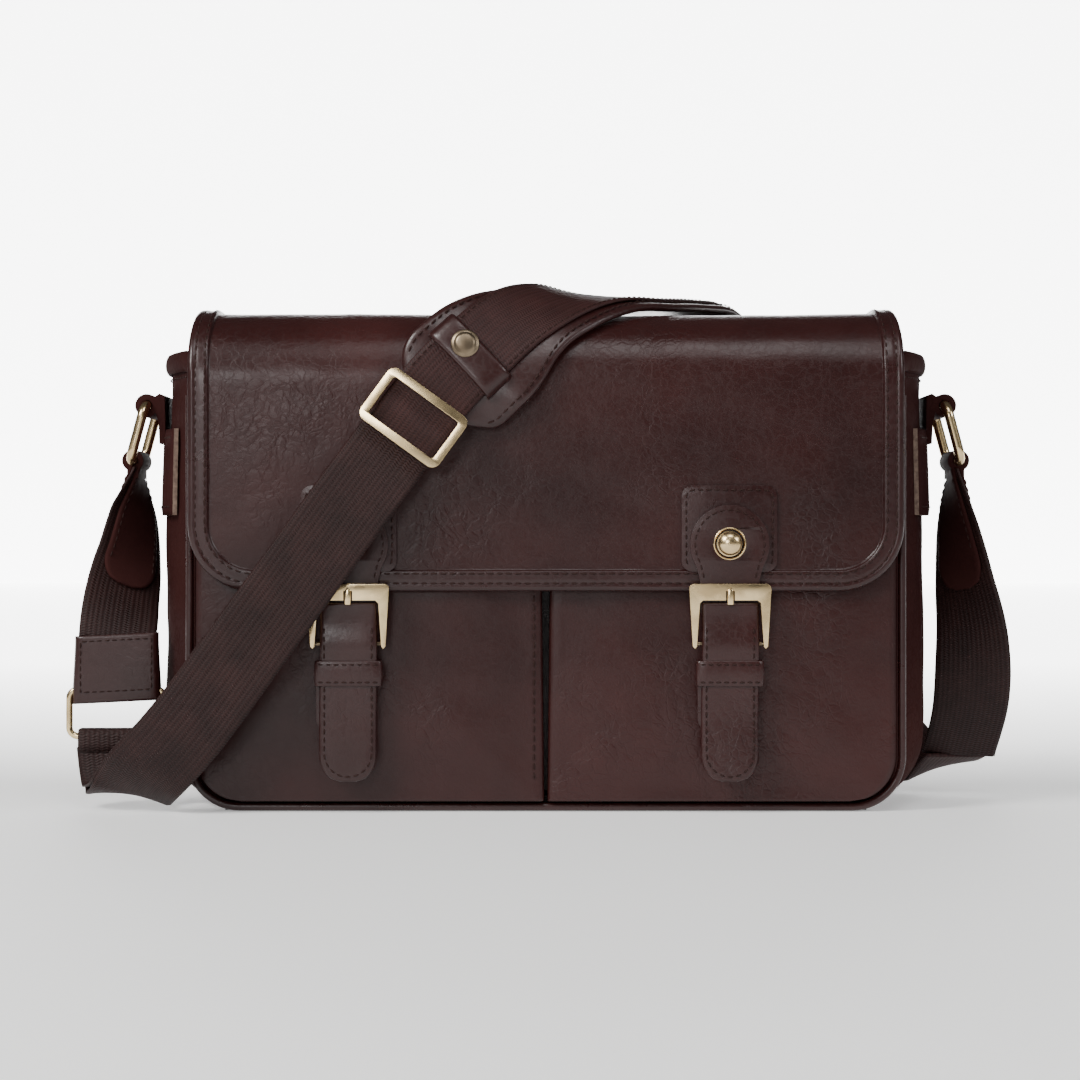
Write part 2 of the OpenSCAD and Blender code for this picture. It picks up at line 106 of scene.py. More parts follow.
# ---- materials
class Shader:
    """A Principled material built from a few named steps."""

    def __init__(self, name, **sockets):
        self.material = bpy.data.materials.new(name)
        self.material.use_nodes = True
        self.tree = self.material.node_tree
        self.bsdf = self.tree.nodes["Principled BSDF"]
        for key, value in sockets.items():
            self.bsdf.inputs[key.replace("_", " ")].default_value = value

    def node(self, kind, inputs=None, **settings):
        made = self.tree.nodes.new(kind)
        for key, value in settings.items():
            setattr(made, key, value)
        for key, value in (inputs or {}).items():
            if isinstance(value, bpy.types.NodeSocket):
                self.tree.links.new(value, made.inputs[key])
            else:
                made.inputs[key].default_value = value
        return made

    def link(self, socket, name):
        self.tree.links.new(socket, self.bsdf.inputs[name])

    def place(self):
        return self.node("ShaderNodeTexCoord").outputs["Object"]

    def noise(self, scale, detail=3.0, roughness=0.55):
        return self.node("ShaderNodeTexNoise", {"Vector": self.place(), "Scale": scale, "Detail": detail,
                                                "Roughness": roughness}).outputs["Fac"]

    def cells(self, scale, at):
        return self.node("ShaderNodeTexVoronoi", {"Vector": at, "Scale": scale},
                         feature="DISTANCE_TO_EDGE").outputs["Distance"]

    def spread(self, value, low, high, start=0.0, end=1.0):
        return self.node("ShaderNodeMapRange", {"Value": value, "From Min": start, "From Max": end,
                                                "To Min": low, "To Max": high}).outputs["Result"]

    def colours(self, value, *stops):
        ramp = self.node("ShaderNodeValToRGB", {"Fac": value})
        for element, (position, colour) in zip(ramp.color_ramp.elements, stops):
            element.position = position
            element.color = (*colour, 1)
        if len(stops) > 2:
            ramp.color_ramp.elements.new(stops[2][0]).color = (*stops[2][1], 1)
        return ramp.outputs["Color"]

    def tint(self, amount, first, second):
        return self.node("ShaderNodeMix", {0: amount, 6: first, 7: second}, data_type="RGBA",
                         blend_type="MULTIPLY").outputs[2]

    def sums(self, first, second, how="ADD"):
        return self.node("ShaderNodeMath", {0: first, 1: second}, operation=how).outputs[0]

    def wave(self, value):
        """A sine of the value, from 0 to 1."""
        return self.spread(self.node("ShaderNodeMath", {0: value}, operation="SINE").outputs[0], 0, 1, -1, 1)

    def bump(self, height, strength, distance, under=None):
        inputs = {"Height": height, "Strength": strength, "Distance": distance}
        return self.node("ShaderNodeBump", inputs | ({"Normal": under} if under else {})).outputs["Normal"]


def leather_material(name, deep, base, lit, gloss=0.3, grain=1.0, shine=0.36, coat=0.14):
    """Glossy pull-up leather: smooth hide, clouded tone, thin branching creases in drifts, with painted shade
    darkening the crease lines.
    """
    s = Shader(name, Coat_Weight=coat, Coat_Roughness=0.2)
    s.bsdf.inputs["Specular IOR Level"].default_value = shine
    warp = s.node("ShaderNodeTexNoise", {"Vector": s.place(), "Scale": 55.0, "Detail": 4.0})
    bent = s.node("ShaderNodeMix", {0: 0.02, 4: s.place(), 5: warp.outputs["Color"]}, data_type="VECTOR")
    creases, folds = s.cells(230.0, bent.outputs[1]), s.cells(64.0, bent.outputs[1])
    drifts = s.spread(s.noise(15.0, 2.0), 0.06, 1.0, 0.5, 0.68)
    tone = s.colours(s.noise(9.0, 4.0, 0.6), (0.3, deep), (0.52, base), (0.75, lit))
    # Painted shade: the crease lines darken the base colour, standing in for shade in their grooves.
    crease_shade = s.colours(creases, (0.0, (0.72, 0.7, 0.7)), (0.06, (1, 1, 1)))
    s.link(s.tint(s.sums(drifts, 0.6, "MULTIPLY"), tone, crease_shade), "Base Color")
    dull = s.spread(s.noise(60.0, 4.0), gloss - 0.06, gloss + 0.1)
    s.link(s.sums(dull, s.spread(creases, 0.12, 0.0, 0.0, 0.12)), "Roughness")
    wide = s.bump(s.sums(s.spread(folds, 0.0, 1.0, 0.0, 0.16), drifts, "MULTIPLY"), 0.2 * grain, 0.0008)
    soft = s.bump(s.noise(26.0, 5.0, 0.6), 0.36 * grain, 0.0016, wide)
    fine = s.sums(s.spread(creases, 0.0, 1.0, 0.0, 0.14), drifts, "MULTIPLY")
    fine = s.bump(fine, 0.26 * grain, 0.0004, soft)
    s.link(s.bump(s.noise(750.0, 4.0, 0.65), 0.34 * grain, 0.00022, fine), "Normal")
    return s.material


def webbing_material(name, low, high, weave):
    """Woven strap: a herringbone of slanted yarns in narrow columns, over a broken, worn tone, with painted
    shade between the yarns and painted highlight on their crests.
    """
    s = Shader(name, Roughness=0.55)
    s.bsdf.inputs["Specular IOR Level"].default_value = 0.22
    parts = s.node("ShaderNodeSeparateXYZ", {"Vector": s.node("ShaderNodeUVMap").outputs["UV"]})
    across, along = parts.outputs["X"], parts.outputs["Y"]
    zigzag = s.sums(across, 0.0022, "PINGPONG")
    yarn = s.wave(s.sums(s.sums(along, 5200.0, "MULTIPLY"), s.sums(zigzag, 1900.0, "MULTIPLY")))
    column = s.wave(s.sums(across, 2856.0, "MULTIPLY"))
    height = s.sums(yarn, s.sums(column, 0.8, "MULTIPLY"))
    tone = s.colours(s.noise(70.0, 4.0), (0.3, low), (0.7, high))
    # Painted shade and highlight: the yarns' colour darkens in the hollows of the weave and brightens on its
    # crests.
    yarn_shade_and_highlight = s.colours(height, (0.3, (0.5, 0.48, 0.48)), (1.0, (1.2, 1.16, 1.15)))
    s.link(s.tint(0.7, tone, yarn_shade_and_highlight), "Base Color")
    s.link(s.bump(height, weave, 0.0004, s.bump(s.noise(900.0), 0.25, 0.0003)), "Normal")
    return s.material


def cloth_material(name, low, high, weave=1500.0):
    s = Shader(name, Roughness=0.9, Sheen_Weight=0.4, Sheen_Roughness=0.6)
    s.link(s.colours(s.noise(120.0, 5.0), (0.3, low), (0.7, high)), "Base Color")
    threads = s.node("ShaderNodeTexWave", {"Vector": s.place(), "Scale": weave / 6.0, "Distortion": 1.5})
    s.link(s.bump(s.sums(threads.outputs["Fac"], s.noise(weave)), 0.4, 0.0004), "Normal")
    return s.material


def metal_material(name, bright, dull, rough):
    """A soft brushed finish with slow drifts of duller patina."""
    s = Shader(name, Metallic=1.0)
    patina = s.noise(90.0, 2.0, 0.5)
    s.link(s.colours(patina, (0.3, dull), (0.62, bright)), "Base Color")
    s.link(s.spread(patina, rough + 0.1, rough - 0.03, 0.3, 0.7), "Roughness")
    s.link(s.bump(s.noise(600.0, 2.0), 0.05, 0.0001), "Normal")
    return s.material


def thread_material():
    s = Shader("thread", Roughness=0.7)
    s.bsdf.inputs["Specular IOR Level"].default_value = 0.12
    twist = s.node("ShaderNodeTexWave",
                   {"Vector": s.place(), "Scale": 900.0, "Distortion": 0.6}).outputs["Fac"]
    s.link(s.colours(twist, (0.2, (0.012, 0.0055, 0.005)), (0.8, (0.045, 0.022, 0.0185))), "Base Color")
    s.link(s.bump(twist, 0.4, 0.0002), "Normal")
    return s.material


def raw_edge_material():
    """The paler cut edge of a leather patch."""
    s = Shader("raw_edge", Roughness=0.7)
    s.link(s.colours(s.noise(420.0, 5.0), (0.3, (0.12, 0.075, 0.055)), (0.7, (0.3, 0.21, 0.16))),
           "Base Color")
    s.link(s.bump(s.noise(1400.0), 0.4, 0.0003), "Normal")
    return s.material


LEATHER = leather_material("leather", (0.0158, 0.004, 0.0038), (0.027, 0.0069, 0.0063),
                           (0.0418, 0.0114, 0.0104), gloss=0.3, grain=1.1, shine=0.27, coat=0.1)
TRIM = leather_material("trim_leather", (0.0155, 0.0038, 0.0037), (0.0246, 0.0062, 0.0057),
                        (0.036, 0.01, 0.0091), gloss=0.27, grain=0.8)
TAB = leather_material("strap_leather", (0.016, 0.0041, 0.0037), (0.0254, 0.0067, 0.0061),
                       (0.037, 0.0106, 0.0097), gloss=0.3, grain=0.9)
SIDE = leather_material("side_leather", (0.02, 0.0065, 0.0062), (0.031, 0.0102, 0.0095),
                        (0.045, 0.016, 0.0145), gloss=0.75, grain=0.8, shine=0.03, coat=0.0)
WEBBING = webbing_material("webbing", (0.0136, 0.005, 0.0045), (0.0248, 0.0096, 0.0086), 0.5)
PAD_STRIP = webbing_material("pad_strip", (0.022, 0.0076, 0.007), (0.036, 0.0128, 0.0118), 0.3)
LINING = cloth_material("lining", (0.06, 0.045, 0.037), (0.1, 0.078, 0.064))
BRASS = metal_material("antique_brass", (0.86, 0.66, 0.37), (0.6, 0.44, 0.235), 0.2)
BUTTON = metal_material("button_brass", (0.3, 0.235, 0.16), (0.1, 0.075, 0.05), 0.34)
THREAD = thread_material()
RAW_EDGE = raw_edge_material()
STEEL = metal_material("magnet_steel", (0.5, 0.49, 0.47), (0.32, 0.31, 0.3), 0.3)
BOARD = cloth_material("board", (0.04, 0.036, 0.034), (0.065, 0.06, 0.056), 900.0)


# ---- mesh helpers
def soft_noise(point, scale, seed=0.0):
    """Smooth value from -1 to 1 at a point, always the same."""
    return noise.noise(Vector(point) * scale + Vector((seed, seed * 1.7, seed * 0.6)))


def ease(t):
    t = min(max(t, 0.0), 1.0)
    return t * t * (3 - 2 * t)


def corner_cut(radius, depth):
    """How far a round corner of this radius reaches at a depth measured from its centre."""
    return sqrt(max(radius ** 2 - depth ** 2, 0))


def circle(count):
    """Cosine and sine at even steps round a full turn."""
    turns = [2 * pi * k / count for k in range(count)]
    return [(cos(turn), sin(turn)) for turn in turns]


def arc(cx, cz, radius, start, end, steps):
    turns = [radians(start + (end - start) * k / steps) for k in range(steps + 1)]
    return [(cx + radius * cos(turn), cz + radius * sin(turn)) for turn in turns]


def rounded_outline(cx, cz, width, height, radius):
    x, z = width / 2 - radius, height / 2 - radius
    corners = ((1, 1, 0), (-1, 1, 90), (-1, -1, 180), (1, -1, 270))
    return [spot for sx, sz, start in corners
            for spot in arc(cx + sx * x, cz + sz * z, radius, start, start + 90, 8)]


def make_piece(name, points, faces, material, body=None, hides=(), uvs=None, slot=None):
    mesh = bpy.data.meshes.new(name)
    mesh.from_pydata([tuple(p) for p in points], [], faces)
    if uvs:
        layer = mesh.uv_layers.new(name="UVMap")
        for loop in mesh.loops:
            layer.data[loop.index].uv = uvs[loop.vertex_index]
    mesh.materials.append(material)
    mesh.validate()
    mesh.shade_smooth()
    piece = bpy.data.objects.new(name, mesh)
    bpy.context.scene.collection.objects.link(piece)
    if hides:
        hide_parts(*hides)
    if body:
        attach(piece, body)
    return piece


def modify(piece, kind, **settings):
    modifier = piece.modifiers.new(kind.lower(), kind)
    for key, value in settings.items():
        setattr(modifier, key, value)
    bpy.context.view_layer.objects.active = piece
    bpy.ops.object.modifier_apply(modifier=modifier.name)


def weld(piece):
    modify(piece, "WELD", merge_threshold=0.00002)


def round_edges(piece, width, segments=3, angle=35):
    modify(piece, "BEVEL", width=width, segments=segments, limit_method="ANGLE", angle_limit=radians(angle))
    piece.data.shade_smooth()


def grid_faces(rows, columns, closed=False, first=0, flip=False):
    faces = []
    for i in range(rows - 1):
        for j in range(columns if closed else columns - 1):
            here, k = first + i * columns, (j + 1) % columns
            quad = (here + j, here + k, here + columns + k, here + columns + j)
            faces.append(quad[::-1] if flip else quad)
    return faces


def shell(outer, inner, rows, columns, flip=False):
    """A closed sheet between two matching grids of points."""
    count = rows * columns
    faces = grid_faces(rows, columns) + grid_faces(rows, columns, first=count, flip=True)
    rim = ([(0, j) for j in range(columns)] + [(i, columns - 1) for i in range(1, rows)]
           + [(rows - 1, j) for j in range(columns - 2, -1, -1)] + [(i, 0) for i in range(rows - 2, 0, -1)])
    index = [i * columns + j for i, j in rim]
    faces += [(b, a, count + a, count + b) for a, b in zip(index, index[1:] + index[:1])]
    return outer + inner, [f[::-1] for f in faces] if flip else faces


def turned(profile, centre, steps, closed=False, first=0):
    """Points and faces of a profile of (radius, depth) in mm, turned about a line along Y."""
    x, y, z = centre
    count = len(profile)
    points = [(x + r * MM * c, y + depth * MM, z + r * MM * s)
              for c, s in circle(steps) for r, depth in profile]
    faces = []
    for k in range(steps):
        here, there = first + k * count, first + (k + 1) % steps * count
        for j in range(count if closed else count - 1):
            m = (j + 1) % count
            faces.append((here + j, here + m, there + m, there + j))
    return points, faces


def plate(name, outline, y0, y1, material, body, hides=(), hole=None, bevel=0.5 * MM, segments=3):
    """A flat piece in the XZ plane: a closed outline of (x, z) extruded from y0 back to y1, edges rounded."""
    curve = bpy.data.curves.new(name, "CURVE")
    curve.dimensions = "2D"
    curve.fill_mode = "BOTH"
    curve.extrude = abs(y1 - y0) / 2
    for loop in [outline, hole] if hole else [outline]:
        spline = curve.splines.new("POLY")
        spline.points.add(len(loop) - 1)
        spline.use_cyclic_u = True
        for point, (x, z) in zip(spline.points, loop):
            point.co = (x, z, 0, 1)
    holder = bpy.data.objects.new(name + "_curve", curve)
    bpy.context.scene.collection.objects.link(holder)
    bpy.context.view_layer.update()
    mesh = bpy.data.meshes.new_from_object(holder.evaluated_get(bpy.context.evaluated_depsgraph_get()))
    bpy.data.objects.remove(holder)
    middle = (y0 + y1) / 2
    points = [(v.co.x, middle - v.co.z, v.co.y) for v in mesh.vertices]
    piece = make_piece(name, points, [tuple(p.vertices) for p in mesh.polygons], material, body, hides)
    weld(piece)
    round_edges(piece, bevel, segments)
    return piece


def flat_line(outline, y):
    """Points and forward normals of an outline of (x, z) on the plane at y."""
    return [(Vector((a, y, b)), FORWARD) for a, b in outline]


def stitches(name, line, body=None, pitch=4.1, length=2.9, radius=0.42):
    """Short raised threads, one after another along points that each come with a surface normal."""
    runs, rings, around = [0.0], 5, 6
    for (a, _), (b, _) in zip(line, line[1:]):
        runs.append(runs[-1] + (b - a).length)
    radius *= MM

    def at(distance):
        distance = min(max(distance, 0), runs[-1])
        k = 0
        while k < len(line) - 2 and runs[k + 1] < distance:
            k += 1
        share = (distance - runs[k]) / max(runs[k + 1] - runs[k], 1e-9)
        (a, up_a), (b, up_b) = line[k], line[k + 1]
        return a.lerp(b, share), up_a.lerp(up_b, share).normalized()

    points, faces = [], []
    count = max(int(runs[-1] / (pitch * MM)), 1)
    for n in range(count):
        centre = (n + 0.5) * runs[-1] / count
        first = len(points)
        way = (at(centre + 0.3 * MM)[0] - at(centre - 0.3 * MM)[0]).normalized()
        for r in range(rings):
            u = -1 + 2 * r / (rings - 1)
            place, up = at(centre + u * (length * MM) / 2)
            side = way.cross(up).normalized()
            thick = radius * sqrt(1 - 0.86 * u * u)
            lift = up * (radius * 0.45 * (1 - u * u))
            points += [place + lift + side * thick * c + up * thick * 0.8 * s for c, s in circle(around)]
        faces += grid_faces(rings, around, closed=True, first=first)
        faces += [tuple(first + k for k in range(around))[::-1],
                  tuple(first + (rings - 1) * around + k for k in range(around))]
    return make_piece(name, points, faces, THREAD, body)


def tube(name, path, radius, material, body, around=10, hides=(), squash=(1.0, 1.0)):
    """A round or oval cord of leather or wire along a path that runs level."""
    points, last = [], len(path) - 1
    for i, place in enumerate(path):
        way = (path[min(i + 1, last)] - path[max(i - 1, 0)]).normalized()
        side = way.cross(Vector((0, 0, 1))).normalized()
        up = side.cross(way).normalized()
        points += [place + side * radius * squash[0] * c + up * radius * squash[1] * s
                   for c, s in circle(around)]
    faces = grid_faces(last + 1, around, closed=True)
    faces += [tuple(range(around)), tuple(last * around + k for k in range(around))[::-1]]
    return make_piece(name, points, faces, material, body, hides)


# ---- swept straps
def route_at(route, s):
    """Point and width direction at parameter s of a route of stations, as part.scad's station()."""
    n = len(route) - 1
    i = min(int(s), n - 1)
    t = s - i
    a, b, c, d = (route[max(i - 1, 0)], route[i], route[i + 1], route[min(i + 2, n)])
    v = [0.5 * (2 * q + (r - p) * t + (2 * p - 5 * q + 4 * r - e) * t * t + (3 * q - p - 3 * r + e) * t ** 3)
         for p, q, r, e in zip(a, b, c, d)]
    return Vector(v[:3]) * MM, Vector(v[3:])


def with_runs(spots):
    """Adds to each (point, width direction, outward direction) the distance run from the first."""
    frames, run = [], 0.0
    for spot in spots:
        run += (spot[0] - frames[-1][0]).length if frames else 0.0
        frames.append((*spot, run))
    return frames


def strap_frames(route, a, b, steps):
    """Point, width direction, outward direction and distance run at even parameters of a route."""
    spots = [route_at(route, a + (b - a) * k / steps) for k in range(steps + 1)]
    frames = []
    for k, (place, width) in enumerate(spots):
        way = (spots[min(k + 1, steps)][0] - spots[max(k - 1, 0)][0]).normalized()
        side = (width - way * width.dot(way)).normalized()
        frames.append((place, side, side.cross(way)))
    return with_runs(frames)


def shifted(frames, across=0.0, out=lambda share: 0.0):
    total = frames[-1][3]
    return [(p + side * across + o * out(run / total), side, o, run) for p, side, o, run in frames]


def strap(name, frames, width, thick, material, body=None, hides=(), lift=0.0, puff=0.0, columns=13,
          round_start=0.0, round_end=0.0, edge=0.6 * MM, slot=None):
    """A flat band along frames, its width drawn in at a rounded end and its top crowned by puff."""
    total = frames[-1][3]
    outer, inner, uvs = [], [], []
    for place, side, out, run in frames:
        half = (width(run / total) if callable(width) else width) / 2
        for reach, gap in ((round_start, run), (round_end, total - run)):
            if reach and gap < reach:
                half *= 0.28 + 0.72 * corner_cut(1, 1 - gap / reach)
        for j in range(columns):
            u = -1 + 2 * j / (columns - 1)
            u = copysign(1 - (1 - abs(u)) ** 1.25, u)
            fall = 1 - corner_cut(1, 1 - min((1 - abs(u)) * half / edge, 1))
            gap, crown = thick / 2 * (1 - 0.7 * fall), puff * (1 - u ** 4)
            outer.append(place + side * half * u + out * (lift + gap + crown))
            inner.append(place + side * half * u + out * (lift - gap - crown * 0.3))
            uvs.append((half * u, run))
    points, faces = shell(outer, inner, len(frames), columns)
    return make_piece(name, points, faces, material, body, hides, uvs + uvs, slot)


def strap_line(frames, across, lift):
    """Points and normals of a line that runs along a strap at a distance from its middle."""
    return [(p + side * across + out * lift, out) for p, side, out, _ in frames]


# ---- the flap
# Its outer face from the side as (y, z): up the front, over the crown, back along the top and down.
PROFILE = [(FACE_Y, FLAP_EDGE_Z + (CROWN_Z - FLAP_EDGE_Z) * k / 40) for k in range(40)]
PROFILE += arc(FACE_Y + CROWN_R, CROWN_Z, CROWN_R, 180, 95, 17)
PROFILE += [(FACE_Y + CROWN_R + (56 * MM - FACE_Y - CROWN_R) * u / 24,
             CROWN_Z + CROWN_R - 12 * MM * (u / 24) ** 2) for u in range(25)]
PROFILE += [(61.6 * MM + 1.4 * MM * cos(radians(a)) - 1.2 * MM,
             206.5 * MM + 3.4 * MM * sin(radians(a))) for a in range(60, -1, -20)]
PROFILE += [(61.9 * MM, 206 * MM - 34 * MM * k / 12) for k in range(1, 13)]
RUN = [0.0]
for (y0, z0), (y1, z1) in zip(PROFILE, PROFILE[1:]):
    RUN.append(RUN[-1] + hypot(y1 - y0, z1 - z0))
FLAP_LENGTH = RUN[-1]
HINGE_RUN = RUN[40 + 18 + 24]


def profile_at(run):
    """(y, z) and outward normal of the flap's outer leather at a distance up from its lower edge."""
    k = 0
    while k < len(RUN) - 2 and RUN[k + 1] < run:
        k += 1
    t = (run - RUN[k]) / (RUN[k + 1] - RUN[k])
    (y0, z0), (y1, z1) = PROFILE[k], PROFILE[k + 1]

    def way(i):
        (a, b), (c, d) = PROFILE[max(i - 1, 0)], PROFILE[min(i + 1, len(PROFILE) - 1)]
        return Vector((c - a, d - b)).normalized()

    along = way(k).lerp(way(k + 1), min(max(t, 0), 1)).normalized()
    return y0 + (y1 - y0) * t, z0 + (z1 - z0) * t, -along.y, along.x


def flap_half(y):
    """Half the flap's width: it narrows over the crown and towards the back."""
    if y < -60 * MM:
        return HALF_W
    if y < -30 * MM:
        return HALF_W - 2.5 * MM * (y + 60 * MM) / (30 * MM)
    return HALF_W - 2.5 * MM - 5.5 * MM * (y + 30 * MM) / (130 * MM)


def flap_point(run, x, rise):
    """A point of the flap: run up from the lower edge, x before narrowing, rise off the outer leather."""
    y, z, ny, nz = profile_at(run)
    share = x / HALF_W
    x = x * flap_half(y) / HALF_W
    top = ease((z - 205 * MM) / (16 * MM)) * ease((HINGE_Y - y) / (25 * MM))
    z -= top * 2.2 * MM * (1 - share ** 2) ** 1.5
    z -= top * 0.8 * MM * soft_noise((x, y, 0), 14.0, 3.1)
    normal = Vector((0, ny, nz))
    return Vector((x, y, z)) + normal * rise, normal


def flap_ring(inset):
    """(run, x) along the flap's free edge, drawn in by inset: up from one back corner, round, and back."""
    r, straight = FLAP_CORNER - inset, HALF_W - FLAP_CORNER
    left = [(FLAP_LENGTH - (FLAP_LENGTH - FLAP_CORNER) * (k / 60), -(HALF_W - inset)) for k in range(60)]
    left += [(FLAP_CORNER - r * sin(radians(a)), -straight - r * cos(radians(a)))
             for a in range(0, 91, 9)]
    middle = [(inset, -straight + 2 * straight * k / 50) for k in range(1, 50)]
    return left + middle + [(run, -x) for run, x in reversed(left)]


def border_rise(inset):
    """Height of the sewn border over the panel: a rolled outer edge, a flat strip and a step down."""
    roll = 3.0 * MM
    if inset < roll:
        return 1.5 * MM * corner_cut(1, 1 - inset / roll) + 0.3 * MM * sin(pi * inset / roll)
    strip = 1.5 * MM - 0.25 * MM * exp(-((inset - 3.4 * MM) / (0.5 * MM)) ** 2)
    return strip * (1 - ease((inset - 8.6 * MM) / (1.0 * MM))) + 0.02 * MM


def blend_flap(piece):
    """Bakes the piece's placement into its mesh."""
    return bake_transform(piece)


def build_border():
    """The sewn border, one strip round the three free edges, closed underneath, with two rows of thread."""
    outer, under = [], []
    insets = (0, 0.25, 0.7, 1.3, 2.0, 2.7, 3.4, 4.2, 5.6, 7.2, 8.4, 8.8, 9.2, 9.6, 9.9)
    for inset in insets:
        outer += [flap_point(run, x, border_rise(inset * MM)
                             + 0.12 * MM * soft_noise((x, run, inset), 60.0, 1.0))[0]
                  for run, x in flap_ring(inset * MM)]
    for inset in (0.3, 5.0, 9.9):
        under += [flap_point(run, x, -0.6 * MM)[0] for run, x in flap_ring(inset * MM)]
    base, count = len(outer), len(outer) // len(insets)
    last = base - count
    faces = grid_faces(len(insets), count, flip=True) + grid_faces(3, count, first=base)
    for j in range(count - 1):
        faces.append((j, j + 1, base + j + 1, base + j))
        faces.append((last + j, base + 2 * count + j, base + 2 * count + j + 1, last + j + 1))
    blend_flap(make_piece("flap_edge_band", outer + under, faces, TRIM, hides=["flap_border"]))
    for label, inset, rise in (("outer", 3.5 * MM, 1.3 * MM), ("inner", 7.7 * MM, 1.5 * MM)):
        blend_flap(stitches("flap_stitches_" + label,
                            [flap_point(run, x, rise) for run, x in flap_ring(inset)]))
    stitches("flap_stitches_back", [flap_point(FLAP_LENGTH - 4 * MM, (HALF_W - 12 * MM) * (k / 20 - 1), 0)
                                    for k in range(41)], "bag")


def build_flap_sheet(name, length, inset, front, back, material, hides, relief):
    """A layer of the flap: rows up the flap, columns drawn in round the lower corners."""
    rows, columns, start = 150, 71, inset - 0.7 * MM
    outer, inner = [], []
    for k in range(rows + 1):
        run = start + (length - start) * k / rows
        reach = HALF_W - inset
        if run < FLAP_CORNER:
            reach = HALF_W - FLAP_CORNER + corner_cut(FLAP_CORNER - inset, FLAP_CORNER - max(run, inset))
        for j in range(columns):
            x = reach * (-1 + 2 * j / (columns - 1))
            puff = ease((min(HALF_W - abs(x), run) - 8 * MM) / (60 * MM))
            puff *= ease((HINGE_RUN - run) / (60 * MM))
            creases = 0.35 * MM * soft_noise((x, run * 1.8, 0), 26.0)
            creases += 0.16 * MM * soft_noise((x, run, 1), 75.0)
            rise = front + relief * (0.75 * MM + creases) * puff
            place, normal = flap_point(run, x, rise)
            outer.append(place)
            inner.append(place + normal * (back - rise))
    return make_piece(name, *shell(outer, inner, rows + 1, columns), material, hides=hides)


build_border()
blend_flap(build_flap_sheet("flap_leather", FLAP_LENGTH, 1.2 * MM, 0.0, -1.7 * MM, LEATHER,
                            ["flap_panel", "flap_anchor"], 1))
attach(build_flap_sheet("flap_lining_cloth", HINGE_RUN - 4 * MM, 1.6 * MM, -2.1 * MM, -3.2 * MM, LINING,
                         ["flap_lining"], 0), "flap")


# ---- patches, tabs, studs, buckles
def build_patch_and_tab(side, x):
    """The square patch and, over it, the keyhole tab with a hole for the stud."""
    z0, z1 = FLAP_EDGE_Z + BORDER - 1.0 * MM, 144 * MM
    middle = (z0 + z1) / 2
    plate(f"patch_{side}_leather", rounded_outline(x, middle, 42 * MM, z1 - z0, 5 * MM), FACE_Y - 1.7 * MM,
          FACE_Y - 0.3 * MM, TRIM, "flap", [f"patch_{side}"])
    inset = rounded_outline(x, middle, 38 * MM, z1 - z0 - 4 * MM, 3.5 * MM)
    inset = [(a, b) for a, b in inset if b > z0 + 3 * MM]
    start = max(range(len(inset)), key=lambda i: dist(inset[i], inset[i - 1]))
    stitches(f"patch_{side}_stitches", flat_line(inset[start:] + inset[:start], FACE_Y - 1.7 * MM), "flap",
             3.6, 2.5)
    tab_y = FACE_Y - 4.2 * MM
    neck = [(a * MM, z * MM) for a, z in ((14.2, 107), (13, 102), (12.8, 88))]
    outline = arc(x, 118 * MM, 17.4 * MM, -25, 205, 40) + [(x - a, z) for a, z in neck]
    outline += [(x + a, z) for a, z in reversed(neck)]
    plate(f"closure_tab_{side}_leather", outline, tab_y, tab_y + 2.2 * MM, TAB, "flap",
          [f"closure_tab_{side}"],
          arc(x, CLOSURE_Z, 6.6 * MM, 360, 0, 32)[:-1], 0.6 * MM)
    seam = [(x + 11.2 * MM, 103 * MM), *arc(x, 118 * MM, 15.2 * MM, -32, 212, 40), (x - 11.2 * MM, 103 * MM)]
    stitches(f"closure_tab_{side}_stitches", flat_line(seam, tab_y), "flap", 3.4, 2.4, 0.36)


def build_buckle(side, x):
    """A thick bar on top, two arms that taper to points, a round lower bar and a pin."""
    front, (z0, z1) = BILLET_Y - 0.6 * MM, BAR_Z
    low, high, heel = z0 / MM, z1 / MM, HEEL_Z / MM
    half = [(11.9, low), (13.3, low - 1.2), (14.6, heel - 1), (15.4, heel - 2), (16.4, heel - 1),
            (17.9, high - 2.4)]
    half += arc(15.9, high - 2.0, 2.0, 0, 90, 6)
    outline = [(x + a * MM, b * MM) for a, b in half] + [(x - a * MM, b * MM) for a, b in reversed(half)]
    slot = [(x + a * MM, z0 + b * MM) for a, b in ((-1.9, 0), (-1.9, 4.2), (1.9, 4.2), (1.9, 0))]
    plate(f"buckle_{side}_frame", outline + slot, front - 2.8 * MM, front, BRASS, "flap", [f"buckle_{side}"],
          bevel=0.9 * MM, segments=4)
    bar = [Vector((x + u * 15.4 * MM, front + 2.9 * MM, HEEL_Z)) for u in (-1, -0.9, -0.5, 0, 0.5, 0.9, 1)]
    tube(f"buckle_{side}_heel_bar", bar, 1.0 * MM, BUTTON, "flap")
    pin = [(x + a * MM, b * MM) for a, b in ((-1.35, 91.6), (1.35, 91.6), (1.35, 98), (0, 99.2), (-1.35, 98))]
    plate(f"prong_{side}_pin", pin, BILLET_Y - 4.5 * MM, BILLET_Y - 2.6 * MM, BRASS, "flap",
          [f"prong_{side}"])


